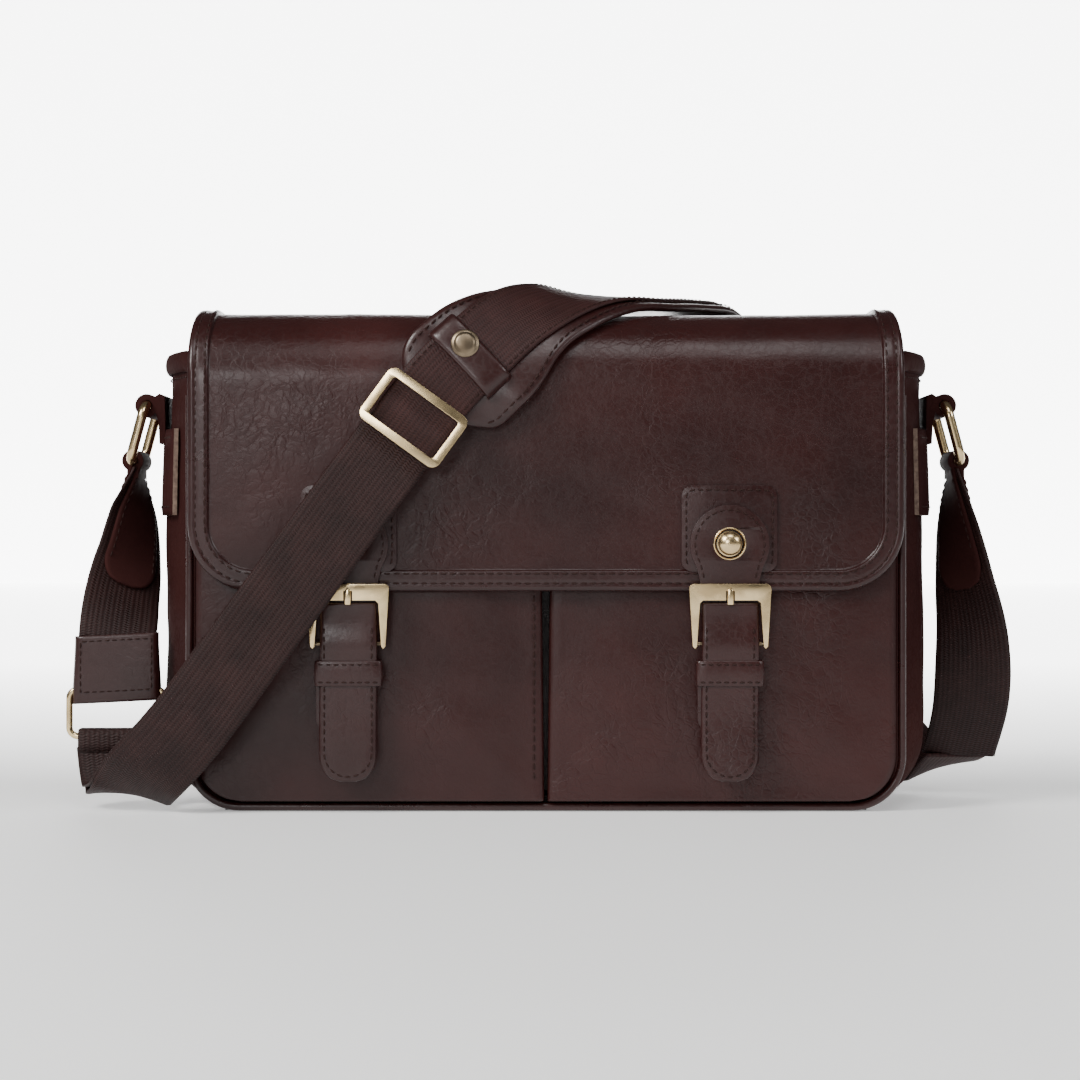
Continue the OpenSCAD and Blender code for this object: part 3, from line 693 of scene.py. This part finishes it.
def build_billet(side, x):
    """The strap: out of the buckle, over its heel bar, through the keeper and down to a round tip."""
    top, spots = 92.5 * MM, []
    for k in range(61):
        z = top + (TIP_Z - top) * k / 60
        y = BILLET_Y - 0.9 * MM + 0.25 * MM * sin(k * 0.21)
        y -= 0.9 * MM * exp(-((z - HEEL_Z) / (7 * MM)) ** 2) + 0.5 * MM * ease((30 * MM - z) / (16 * MM))
        spots.append((Vector((x + 0.2 * MM * sin(k * 0.11), y, z)), Vector((1, 0, 0)), FORWARD))
    tongue = strap(f"billet_{side}_strap", with_runs(spots), 2 * BILLET_R, 2.1 * MM, TAB,
                   hides=[f"billet_{side}"], puff=0.35 * MM, columns=19, round_end=BILLET_R, edge=0.8 * MM)

    def on_front(across, z):
        place = spots[min(60, max(0, round(60 * (top - z) / (top - TIP_Z))))][0]
        return Vector((x + across, place.y - 1.4 * MM, z)), FORWARD

    tip, seam_half, high = TIP_Z + BILLET_R, 10.4 * MM, spots[8][0].z
    sides = [high + (tip - high) * k / 40 for k in range(40)]
    line = [on_front(-seam_half, z) for z in sides]
    line += [on_front(a, b) for a, b in arc(0, tip, seam_half, 180, 360, 30)]
    line += [on_front(seam_half, z) for z in reversed(sides)]
    for piece in (tongue, stitches(f"billet_{side}_stitches", line, None, 3.6, 2.5, 0.4)):
        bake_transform(piece)


def build_keeper(side, x):
    """A folded leather loop, and the shorter layer behind that holds the magnet."""
    body = f"strap_end_{side}"

    def band(c, s):
        """(across, forward) of the loop's section at a turn given by its cosine and sine."""
        return copysign(abs(c) ** 0.35, c) * 14.6 * MM, copysign(abs(s) ** 0.5, s) * 3.0 * MM

    outer, inner, around = [], [], 36
    for k in range(9):
        v = -1 + k / 4
        swell, z = 0.35 * MM * (1 - v * v), KEEPER_Z + v * 5.6 * MM
        for wide, deep in [band(c, s) for c, s in circle(around)]:
            outer.append(Vector((x + wide * (1 + swell / (14 * MM)),
                                 BILLET_Y - 0.2 * MM + deep + copysign(swell, deep), z)))
            inner.append(Vector((x + wide * 0.93, BILLET_Y - 0.2 * MM + deep * 0.62, z)))
    inside = len(outer)
    faces = grid_faces(9, around, closed=True) + grid_faces(9, around, closed=True, first=inside, flip=True)
    for first, flip in ((0, False), (8 * around, True)):
        for j in range(around):
            a, b = first + j, first + (j + 1) % around
            quad = (b, a, inside + a, inside + b)
            faces.append(quad[::-1] if flip else quad)
    keeper = make_piece(f"keeper_{side}_loop", outer + inner, faces, TAB, body, [f"keeper_{side}"])
    round_edges(keeper, 0.4 * MM, 2, 60)
    turns = [radians(216 + 3.6 * k) for k in range(31)]
    front = [band(cos(turn), sin(turn)) for turn in turns]
    for label, z in (("low", KEEPER_Z - 3.9 * MM), ("high", KEEPER_Z + 3.9 * MM)):
        stitches(f"keeper_{side}_stitches_{label}",
                 [(Vector((x + wide, BILLET_Y - 0.45 * MM + deep, z)), FORWARD) for wide, deep in front],
                 body, 3.2, 2.2, 0.38)
    plate(f"chape_{side}_leather", rounded_outline(x - 1.6 * MM, 52 * MM, 25 * MM, 32 * MM, 6 * MM),
          BILLET_Y + 0.4 * MM, BILLET_Y + 2.1 * MM, TRIM, body, [f"chape_{side}"], bevel=0.4 * MM)


def build_eyelets():
    """Turned rings round the ball studs: a rounded flange and a plain barrel."""
    profile = [(6.3, 2.2), (6.3, 0.3), (6.45, -0.1), (6.8, -0.3), (7.15, -0.1), (7.3, 0.2), (7.3, 0.6),
               (7.1, 0.7), (7.1, 2.2)]
    points, faces = [], []
    for x in CLOSURES.values():
        ring, sides = turned(profile, (x, FACE_Y - 4.2 * MM, CLOSURE_Z), 48, True, len(points))
        points, faces = points + ring, faces + sides
    make_piece("eyelet_rings", points, faces, BRASS, "flap", ["eyelets"])


for side, x in CLOSURES.items():
    build_patch_and_tab(side, x)
    build_buckle(side, x)
    build_billet(side, x)
    build_keeper(side, x)
build_eyelets()


# ---- pockets, gussets and trims
def build_pocket(side, sign):
    """A soft front pocket: its face, and the wall that turns back into the centre pleat."""
    z0, z1, corner, turn, wall_x = 4.8 * MM, 128 * MM, 20 * MM, 2.6 * MM, 1.4 * MM
    start = wall_x + turn
    wall = [(wall_x, y * MM) for y in (-43, -50, -56)]
    wall += [(wall_x + turn * (1 - cos(radians(a))), FRONT_Y + turn * (1 - sin(radians(a))))
             for a in (20, 40, 60, 80)]
    outer, inner = [], []
    for i in range(61):
        z = z0 + (z1 - z0) * (i / 60) ** 1.15
        reach = 154.2 * MM
        if z < z0 + corner:
            reach += -corner + corner_cut(corner, corner + z0 - z)
        gape = (-0.7 + 1.3 * (z - z0) / (z1 - z0)) * MM
        line = [(x + gape, y) for x, y in wall]
        for k in range(1, 50):
            x = start + gape * (1 - k / 49) + (reach - start) * k / 49
            edge = min(x - start, reach - x, z - z0, z1 - z)
            puff = 1.3 * MM * ease(edge / (38 * MM)) * ease((112 * MM - z) / (16 * MM))
            crease = 0.45 * MM * soft_noise((x * sign, z * 1.2, 4), 24.0)
            crease += 0.18 * MM * soft_noise((x * sign, z, 9), 70.0)
            line.append((x, FRONT_Y - puff + crease * ease(edge / (8 * MM))))
        for k, (x, y) in enumerate(line):
            a, b = line[max(k - 1, 0)], line[min(k + 1, len(line) - 1)]
            normal = Vector((a[1] - b[1], b[0] - a[0])).normalized()
            outer.append(Vector((sign * x, y, z)))
            inner.append(Vector((sign * (x + normal.x * 2.0 * MM), y + normal.y * 2.0 * MM, z)))
    make_piece(f"pocket_{side}_face", *shell(outer, inner, 61, len(line), sign < 0), LEATHER, "bag",
               [f"pocket_{side}"])
    if side == "left":
        seam = [(-5.2 * MM, 14 * MM + 111 * MM * k / 40) for k in range(41)]
        stitches("pocket_pleat_stitches", flat_line(seam, FRONT_Y - 0.25 * MM), "bag")
    hem = [Vector((sign * (5 * MM + 148 * MM * k / 30), FRONT_Y + 1 * MM, z1)) for k in range(31)]
    tube(f"pocket_{side}_hem", hem, 1.9 * MM, TRIM, "bag")


def gusset_spot(sign, u, height, rise=0.0):
    """A point and normal of the bulging side wall: u from front to back, height in metres up the wall."""
    swell = sin(pi * u)
    side_x = GUSSET_X + GUSSET_BULGE * swell * (1 - 0.1 * ease((height - 120 * MM) / (80 * MM)))
    normal = Vector((sign, -pi * GUSSET_BULGE * cos(pi * u) / GUSSET_DEPTH, 0)).normalized()
    foot = (22 + 10 * swell) * MM
    if height < foot:
        side_x -= foot - corner_cut(foot, foot - height)
        tip = asin((foot - height) / foot)
        normal = Vector((normal.x * cos(tip), normal.y * cos(tip), -sin(tip)))
    return Vector((sign * side_x, GUSSET_Y[0] + GUSSET_DEPTH * u, 0.5 * MM + height)) + normal * rise, normal


def build_gusset(side, sign):
    """The soft side wall, turned in at the foot, and the rolled hem along its top edge."""
    heights = [22 * MM * (k / 14) ** 2 for k in range(14)]
    heights += [22 * MM + 174.5 * MM * k / 46 for k in range(47)]
    steps = [j / 36 for j in range(37)]
    outer, inner = [], []
    for flat in (134 * MM, 142 * MM):
        for store, z in ((outer, 0.5 * MM), (inner, 2.5 * MM)):
            store += [Vector((sign * flat, GUSSET_Y[0] + GUSSET_DEPTH * u, z)) for u in steps]
    for height in heights:
        for u in steps:
            folds = 1.3 * MM * soft_noise((u * 2.2, height * 16, sign * 3), 1.6)
            folds += 0.5 * MM * soft_noise((u * 6, height * 45, sign * 5), 1.4)
            folds *= ease(min(u, 1 - u) / 0.16) * ease(height / (30 * MM))
            place, normal = gusset_spot(sign, u, height, folds)
            outer.append(place)
            inner.append(place - normal * 1.9 * MM)
    make_piece(f"gusset_{side}_wall", *shell(outer, inner, len(heights) + 2, len(steps), sign > 0), SIDE,
               "bag", [f"gusset_{side}"], slot="leather")
    path = []
    for k in range(49):
        place, _ = gusset_spot(sign, k / 48, 199.5 * MM, 0.6 * MM)
        place.z -= 3.2 * MM * (1 - ease(min(k / 48, 1 - k / 48) / 0.1))
        path.append(place)
    tube(f"gusset_{side}_hem", path, 4.7 * MM, SIDE, "bag", 16, ["gusset_bindings"] if side == "left" else (),
         (0.48, 1.0))
    stitches(f"gusset_{side}_hem_stitches",
             [gusset_spot(sign, k / 40, 192.6 * MM, 0.2 * MM) for k in range(1, 40)],
             "bag")


def build_side_patch(side, sign):
    """The wide leather patch that backs the ring's loop, with pale cut edges."""
    rows, columns = 15, 31
    outer, inner = [], []
    for i in range(rows):
        height = 130.8 * MM + 39 * MM * i / (rows - 1)
        for j in range(columns):
            u = 0.5 + (-34 + 68 * j / (columns - 1)) * MM / GUSSET_DEPTH
            rim = min(i, rows - 1 - i, j, columns - 1 - j)
            outer.append(gusset_spot(sign, u, height, (2.9 if rim else 2.5) * MM)[0])
            inner.append(gusset_spot(sign, u, height, 0.4 * MM)[0])
    patch = make_piece(f"side_patch_{side}_leather", *shell(outer, inner, rows, columns, sign > 0), SIDE,
                       "bag", [f"side_patch_{side}"])
    patch.data.materials.append(RAW_EDGE)
    for polygon in patch.data.polygons[2 * (rows - 1) * (columns - 1):]:
        polygon.material_index = 1
        polygon.use_smooth = False
    for label, z in (("low", 134.6 * MM), ("high", 166 * MM)):
        line = [gusset_spot(sign, 0.5 + (-31 + 62 * k / 30) * MM / GUSSET_DEPTH, z, 2.9 * MM)
                for k in range(31)]
        stitches(f"side_patch_{side}_stitches_{label}", line, "bag")


def build_ring_loop(side, sign):
    """A strip of leather folded round the ring's wire, its tail under the side patch."""
    roll = [(a / MM, b / MM) for a, b in arc(RING_X, RING_Z, 5.3 * MM, 218, 492, 30)]
    outline = [(173.8, 164), (176.6, 164), (177.0, 173.5), *roll, (176.6, 187), (174.2, 186)]
    hole = [(sign * a, b) for a, b in arc(RING_X, RING_Z, 2.6 * MM, 0, 360, 24)[:-1]]
    plate(f"ring_loop_{side}_leather", [(sign * a * MM, b * MM) for a, b in outline], -15.5 * MM, 15.5 * MM,
          SIDE, "bag", [f"ring_loop_{side}"], hole)


def build_panel(name, y_out, facing, hides, half, z0, z1, corner, thick, puff):
    """A flat body panel with rounded lower corners, slightly padded."""
    rows, columns = 44, 61
    outer, inner = [], []
    for i in range(rows):
        z = z0 + (z1 - z0) * i / (rows - 1)
        low = z - z0
        reach = half if low > corner else half - corner + corner_cut(corner, corner - low)
        for j in range(columns):
            x = reach * (-1 + 2 * j / (columns - 1))
            edge = min(reach - abs(x), low, z1 - z)
            swell = puff * ease(edge / (40 * MM))
            swell += 0.4 * MM * soft_noise((x, z, 7), 22.0) * ease(edge / (15 * MM))
            outer.append(Vector((x, y_out + facing * swell, z)))
            inner.append(Vector((x, y_out - facing * thick, z)))
    make_piece(name, *shell(outer, inner, rows, columns, facing > 0), LEATHER, "bag", hides)


def build_foam(name, low, high, body="bag", hides=()):
    """A padded slab with crowned faces and round edges, covered in cloth."""
    steps = 27
    size = [h - l for l, h in zip(low, high)]
    middle = [(h + l) / 2 for l, h in zip(low, high)]
    thin = size.index(min(size))
    p, q = [axis for axis in range(3) if axis != thin]
    outer, inner = [], []
    for i in range(steps):
        for j in range(steps):
            u, v = -1 + 2 * i / (steps - 1), -1 + 2 * j / (steps - 1)
            gap = min((1 - abs(u)) * size[p] / 2, (1 - abs(v)) * size[q] / 2)
            swell = 0.5 * corner_cut(1, 1 - min(gap / (2.2 * MM), 1)) * size[thin]
            swell *= 0.92 + 0.08 * (1 - u * u) * (1 - v * v)
            for sign, store in ((1, outer), (-1, inner)):
                spot = list(middle)
                spot[p] += u * size[p] / 2
                spot[q] += v * size[q] / 2
                spot[thin] += sign * max(swell, 0.25 * MM)
                store.append(Vector(spot))
    make_piece(name, *shell(outer, inner, steps, steps, thin == 1), LINING, body, hides)


for side, sign in SIDES.items():
    build_pocket(side, sign)
    build_gusset(side, sign)
    build_side_patch(side, sign)
    build_ring_loop(side, sign)
build_panel("back_wall", 59.6 * MM, 1, ["back_panel"], 157 * MM, 3 * MM, 205 * MM, 22 * MM, 2.4 * MM,
            1.2 * MM)
build_panel("front_wall", -38 * MM, -1, ["front_panel"], 155 * MM, 5.6 * MM, 200 * MM, 20 * MM, 2.8 * MM,
            0.2 * MM)
FRONT_FOAM, BACK_FOAM = LINER_Y
build_foam("liner_floor", (-129.5 * MM, FRONT_FOAM, 5.4 * MM), (129.5 * MM, BACK_FOAM, 10.4 * MM),
           hides=["padded_liner"])
for name, y in (("liner_front", FRONT_FOAM), ("liner_back", BACK_FOAM - 5 * MM)):
    build_foam(name, (-151.5 * MM, y, 11 * MM), (151.5 * MM, y + 5 * MM, 194 * MM))
for side, sign in SIDES.items():
    low, high = sorted((sign * 146.5 * MM, sign * 151.5 * MM))
    build_foam(f"liner_side_{side}", (low, FRONT_FOAM + 5.1 * MM, 16 * MM),
               (high, BACK_FOAM - 5.1 * MM, 194 * MM))
    build_foam(f"divider_{side}_pad", *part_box(f"divider_{side}"), f"liner_divider_{side}",
               [f"divider_{side}"])


# ---- the shoulder strap
# Stations along the strap: x, y, z in mm, then the direction of the webbing's width.
DROP_LEFT = [
    [-189.4, 0, 152, -0.1, 1, 0], [-189.7, -2, 133, 0.45, 0.89, 0], [-191, -9, 112, 0.7, 0.71, 0],
    [-192.8, -20, 94, 0.88, 0.47, 0], [-193.5, -30.4, 76, 1, 0, 0]]
FRONT = [
    [-193.5, -31, 38, 1, 0, 0], [-193, -30, 26, 1, 0, -0.05], [-190, -36, 12, 0.98, -0.2, -0.1],
    [-184, -52, 9, 0.97, -0.2, -0.15], [-176, -67, 17, 0.93, -0.1, -0.36], [-163, -76, 30, 0.81, 0, -0.59],
    [-149, -79.5, 47, 0.81, 0, -0.59], [-128, -80, 76, 0.81, 0, -0.59], [-107, -79.5, 105, 0.81, 0, -0.59],
    [-84, -77.5, 137, 0.81, 0, -0.59], [-57.5, -71.5, 173, 0.81, 0, -0.59], [-40, -69.5, 196, 0.81, 0, -0.59]]
TOP = [
    [-58, -71.6, 172, 0.81, 0, -0.59], [-45.5, -70.4, 188, 0.8, 0, -0.6], [-31, -69, 202, 0.77, -0.12, -0.62],
    [-14, -60.5, 216.5, 0.76, -0.26, -0.56], [4, -46.5, 224.9, 0.77, -0.44, -0.4],
    [22, -28, 227.3, 0.8, -0.58, -0.14], [40, -8, 227, 0.82, -0.58, -0.02], [56, 16, 228, 0.83, -0.56, 0.02],
    [70, 38, 227.5, 0.85, -0.5, 0.02]]
BACK = [
    [82, 64, 214, 0.94, -0.3, 0.12], [88, 71, 196, 0.95, -0.1, 0.25], [98, 76, 160, 0.93, 0, 0.36],
    [114, 79, 115, 0.9, 0, 0.42], [134, 80, 72, 0.88, 0, 0.46], [157, 76, 40, 0.87, 0, 0.48],
    [174, 62, 18, 0.9, 0.05, 0.36], [186, 44, 11.5, 0.93, 0, 0.28], [195, 26, 19, 0.95, -0.1, 0.2]]
DROP_RIGHT = [
    [195, 26, 19, 0.95, -0.1, 0.2], [198, 8, 44, 1, -0.1, 0.08], [197, -3, 74, 0.88, -0.47, 0],
    [193, -4, 102, 0.65, -0.76, 0], [189.8, -1, 130, 0.35, -0.94, 0], [189.4, 0, 152, -0.1, -1, 0]]
OVER_PAD = [[-64.8, -73.3, 163.2, 0.81, 0, -0.59], *TOP, *BACK]


def build_lower_strap():
    """The webbing below the adjuster ring: over its lower bar, round in a turn and up across the front."""
    frames = strap_frames(FRONT, 0.85, 9.75, 150)

    def apart(share):
        """Each ply's distance from the route: wide at the ring, closing on the way up."""
        return 2.0 * MM * (1 - ease(share / 0.16)) + 0.95 * MM

    under = shifted(frames, across=-1.1 * MM, out=lambda share: -apart(share) - 0.16 * MM)[:100]
    for name, ply, width, hides in (
            ("strap_webbing_front", shifted(frames, out=apart), WEBBING_W, ["strap_lower", "strap_front"]),
            ("strap_webbing_front_ply", under, WEBBING_W - 0.8 * MM, ())):
        piece = strap(name, ply, width, WEBBING_T, WEBBING, hides=hides, columns=17 if hides else 13)
        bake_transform(piece)
    steps = [(-3.0, -7), (-3.0, -3), *arc(0, 0, 3.0, 180, 0, 12), (3.0, -3), (3.0, -7)]
    spots = []
    for k, (y, z) in enumerate(steps):
        a, b = steps[max(k - 1, 0)], steps[min(k + 1, len(steps) - 1)]
        way = Vector((0, b[0] - a[0], b[1] - a[1])).normalized()
        place = Vector((-193.2 * MM, -31 * MM, 31.5 * MM)) + Vector((0, y * MM, z * MM))
        spots.append((place, Vector((1, 0, 0)), Vector((1, 0, 0)).cross(way)))
    turn = with_runs(spots)
    wrap = strap("strap_webbing_turn", turn, WEBBING_W, WEBBING_T, WEBBING, "bag", columns=17)


def build_drop(side, route):
    """The webbing that hangs from a strap ring, and the leather tab that joins it to the ring."""
    sign, ring = SIDES[side], f"strap_ring_{side}"

    def hang(piece):
        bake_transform(piece)

    frames = strap_frames(route, 0, len(route) - 1, 60)
    total = frames[-1][3]
    web = strap(f"strap_webbing_drop_{side}", frames, WEBBING_W, WEBBING_T, WEBBING,
                hides=[f"strap_drop_{side}"], columns=17)
    hang(web)
    # Two plies of leather over the webbing, joined in a roll round the ring's lower bar.
    near = frames if side == "left" else [(p, s, o, total - r) for p, s, o, r in reversed(frames)]
    ply = [frame for frame in near if frame[3] < 57 * MM]
    for label, facing in (("front", 1), ("back", -1)):
        piece = strap(f"end_tab_{side}_{label}", ply, 27 * MM, 1.7 * MM, SIDE, lift=facing * 1.75 * MM,
                      hides=[f"end_tab_{side}"] if facing > 0 else (), puff=0.25 * MM, columns=15,
                      round_end=13 * MM)
        if side == "right":
            piece.data.flip_normals()
        hang(piece)
        for edge, end in ((-1, "a"), (1, "b")):
            line = strap_line(ply[3:-7], edge * 11.2 * MM, facing * 2.9 * MM)
            hang(stitches(f"end_tab_{side}_{label}_stitches_{end}", [(p, n * facing) for p, n in line], None,
                          3.6, 2.5, 0.36))
    x, z = sign * 189.1 * MM, 156.4 * MM
    outline = [(x + sign * a, z + b) for a, b in arc(0, 0, 4.9 * MM, -58, 238, 36)]
    outline += [(x - sign * 2.6 * MM, z - 8 * MM), (x + sign * 2.6 * MM, z - 8 * MM)]
    plate(f"end_tab_{side}_roll", outline, -13.5 * MM, 13.5 * MM, SIDE, ring,
          hole=arc(x, z, 2.5 * MM, 0, 360, 24)[:-1])


def build_sleeve():
    """The stitched leather sleeve that holds the adjuster ring's upper bar."""
    spots = []
    for k in range(25):
        place = Vector((-193.5 * MM, -31 * MM - 0.4 * MM * sin(k / 24 * pi), (77.5 - 30.5 * k / 24) * MM))
        spots.append((place, Vector((1, 0, 0.05)).normalized(), FORWARD))
    strap("strap_sleeve_leather", with_runs(spots), lambda share: (37.6 + 2.4 * ease(share)) * MM, 5.6 * MM,
          TAB, "bag", ["strap_sleeve"], puff=0.55 * MM, columns=21, edge=2.2 * MM)
    corners = []
    for across, along in ((-16, 3), (16, 3), (16, 26), (-16, 26), (-16, 3)):
        place, side, out = spots[int(along / 30.5 * 24)]
        corners.append(place + side * across * MM + out * 3.3 * MM)
    line = [p.lerp(q, k / 12) for p, q in zip(corners, corners[1:]) for k in range(12)] + corners[-1:]
    stitches("strap_sleeve_stitches", [(p, FORWARD) for p in line], "bag", 3.4, 2.4, 0.36)


def build_slider():
    """The brass slider, made flat and turned to lie across the strap."""
    hole = rounded_outline(0, 0, 34.8 * MM, 19.6 * MM, 1.4 * MM)[::-1]
    piece = plate("slider_frame", rounded_outline(0, 0, 42 * MM, 27 * MM, 4 * MM), -1.7 * MM, 1.7 * MM, BRASS,
                  "flap", ["slider"], hole, 1.1 * MM, 4)
    lean, turn = Matrix.Rotation(radians(-3), 4, "X"), Matrix.Rotation(radians(36), 4, "Y")
    piece.data.transform(Matrix.Translation((-57.5 * MM, -77.9 * MM, 173 * MM)) @ lean @ turn)


def ride_on_pad(piece):
    """Turns a piece made flat in the XZ plane to lie across the strap where the keeper is."""
    station = 1.85
    place, width = route_at(OVER_PAD[1:], station)
    below, above = [route_at(OVER_PAD[1:], station + step)[0] for step in (-0.15, 0.15)]
    way = (above - below).normalized()
    side = (width - way * width.dot(way)).normalized()
    out = side.cross(way)
    turn = Matrix((side, -out, way)).transposed().to_4x4()
    piece.data.transform(Matrix.Translation(place + out * 4.3 * MM) @ turn)
    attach(piece, "flap")


def blend_pad(piece):
    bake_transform(piece)


def build_pad():
    """The leather shoulder pad and the strap laid over it, each with its stitching."""
    under, pad_x = strap_frames(TOP + BACK, 0.55, 10.6, 130), 3 * MM

    def width(share):
        return (57 - 12 * (1 - ease(share / 0.07)) - 15 * ease((share - 0.12) / 0.16)) * MM

    pad = strap("shoulder_pad_leather", shifted(under, across=pad_x), width, 3.2 * MM, TAB, slot="leather",
                hides=["shoulder_pad"], lift=-1.1 * MM, puff=1.1 * MM, columns=27, round_start=12 * MM,
                round_end=14 * MM, edge=2.2 * MM)
    blend_pad(pad)
    over = strap_frames(OVER_PAD, 0.0, 17.9, 230)
    total, over_total = under[-1][3], over[-1][3]

    def lift(share):
        """The strap's height over its route: up on the pad, with a hump over the slider's bar."""
        hump = 1.5 * MM * exp(-((share * over_total / MM - 11.5) / 5.5) ** 2)
        return 2.6 * MM * ease(share / 0.06) * (1 - ease((share - 0.52) / 0.12)) + hump

    webbing = strap("strap_over_pad", shifted(over, out=lift), WEBBING_W - 1 * MM, 1.7 * MM, PAD_STRIP,
                    hides=["strap_top", "strap_back"], columns=17)
    blend_pad(webbing)
    for edge, end in ((-1, "a"), (1, "b")):
        line = [(place + side * (pad_x + edge * (width(run / total) / 2 - 3.2 * MM)) + out * 1.55 * MM, out)
                for place, side, out, run in under[6:-8]]
        blend_pad(stitches(f"shoulder_pad_stitches_{end}", line))
        line = [(place + side * edge * 15 * MM + out * (lift(run / over_total) + 0.9 * MM), out)
                for place, side, out, run in over[24:108]]
        blend_pad(stitches(f"strap_over_pad_stitches_{end}", line, None, 3.4, 2.3, 0.34))


def build_pad_keeper():
    """The keeper band across the pad, and its turned button."""
    spots = []
    for k in range(29):
        u = -1 + k / 14
        drop = 5.4 * MM * (1 - sqrt(max(1 - abs(u) ** 5, 0)))
        spots.append((Vector((u * 19.6 * MM, -1.9 * MM + drop, 0)), Vector((0, 0, -1)), FORWARD))
    ride_on_pad(strap("pad_keeper_band", with_runs(spots), 14.4 * MM, 1.9 * MM, TAB, hides=["pad_keeper"],
                      puff=0.5 * MM, edge=0.9 * MM))
    profile = [(0, -5.3), (3.4, -5.2), (4.3, -4.8), (4.7, -4.2), (5.2, -3.9), (6.0, -3.8), (6.3, -3.3),
               (6.2, -2.7), (0, -2.6)]
    button = make_piece("pad_button_cap", *turned(profile, (-4.5 * MM, 0, 1.4 * MM), 40), BUTTON,
                        hides=["pad_button"])
    weld(button)
    ride_on_pad(button)


build_lower_strap()
build_drop("left", DROP_LEFT)
build_drop("right", DROP_RIGHT)
build_sleeve()
build_slider()
build_pad()
build_pad_keeper()

# ---- finishes of the pieces kept from the CAD
FINISHES = {
    BRASS: ["ring_left", "ring_right", "adjuster_ring", "stud_left", "stud_right"],
    TRIM: ["piping_front", "piping_back", "pocket_pleat"],
    LEATHER: ["base_panel"],
    BOARD: ["base_board"],
    STEEL: ["pocket_magnets", "strap_magnets_left", "strap_magnets_right"],
}
for material, names in FINISHES.items():
    for name in names:
        mesh = nodes[name].data
        for index in range(len(mesh.materials)):
            mesh.materials[index] = material


# ---- floor, light, camera
def lit_white(name, near, far, y0, y1):
    """Pale studio surface that glows a little, more so farther from the bag: from near at y0 to far at y1."""
    s = Shader(name, Roughness=0.7)
    s.bsdf.inputs["Emission Color"].default_value = (1, 1, 1, 1)
    s.link(s.colours(s.noise(3.0), (0.3, (0.84, 0.84, 0.835)), (0.7, (0.86, 0.86, 0.855))), "Base Color")
    depth = s.node("ShaderNodeSeparateXYZ", {"Vector": s.place()}).outputs["Y"]
    s.link(s.spread(depth, near, far, y0, y1), "Emission Strength")
    return s.material


def build_studio():
    for name, place, turn, size, glow in (
            ("studio_floor", (0, 0, 0), 0, 16, (0.34, 5.4, 0.08, 1.4)),
            ("studio_backdrop", (0, 6.5, 0.9), 90, 4.6, (5.4, 5.4, 0.0, 9.0))):
        bpy.ops.mesh.primitive_plane_add(size=size, location=place, rotation=(radians(turn), 0, 0))
        sheet = bpy.context.object
        sheet.name = name
        sheet.data.materials.append(lit_white(name, *glow))
    world = bpy.data.worlds.new("studio")
    bpy.context.scene.world = world
    world.use_nodes = True
    background = world.node_tree.nodes["Background"]
    background.inputs["Color"].default_value = (1.0, 1.0, 1.0, 1)
    background.inputs["Strength"].default_value = 0.07
    middle = Vector((0, 0, 0.11))
    for name, place, size, power, colour in (
            ("sheen", (-0.42, -1.5, 0.5), 0.4, 5, (1, 1, 1)),
            ("key", (-1.2, -1.1, 1.3), 0.7, 36, (1.0, 0.985, 0.965)),
            ("fill", (1.5, -0.9, 1.05), 0.6, 11, (0.98, 0.99, 1.0)),
            ("top", (0.15, -0.85, 1.35), 0.6, 6, (1, 1, 1))):
        data = bpy.data.lights.new(name, "AREA")
        data.size, data.energy, data.color = size, power, colour
        lamp = bpy.data.objects.new(name, data)
        lamp.location = place
        lamp.rotation_euler = (middle - Vector(place)).to_track_quat("-Z", "Y").to_euler()
        bpy.context.scene.collection.objects.link(lamp)
    data = bpy.data.cameras.new("camera")
    data.lens, data.sensor_width = 90.9, 36.0
    camera = bpy.data.objects.new("camera", data)
    camera.location = (-2.6 * MM, -1262 * MM, 120 * MM)
    camera.rotation_euler = (radians(90), 0, 0)
    bpy.context.scene.collection.objects.link(camera)
    bpy.context.scene.camera = camera


build_studio()
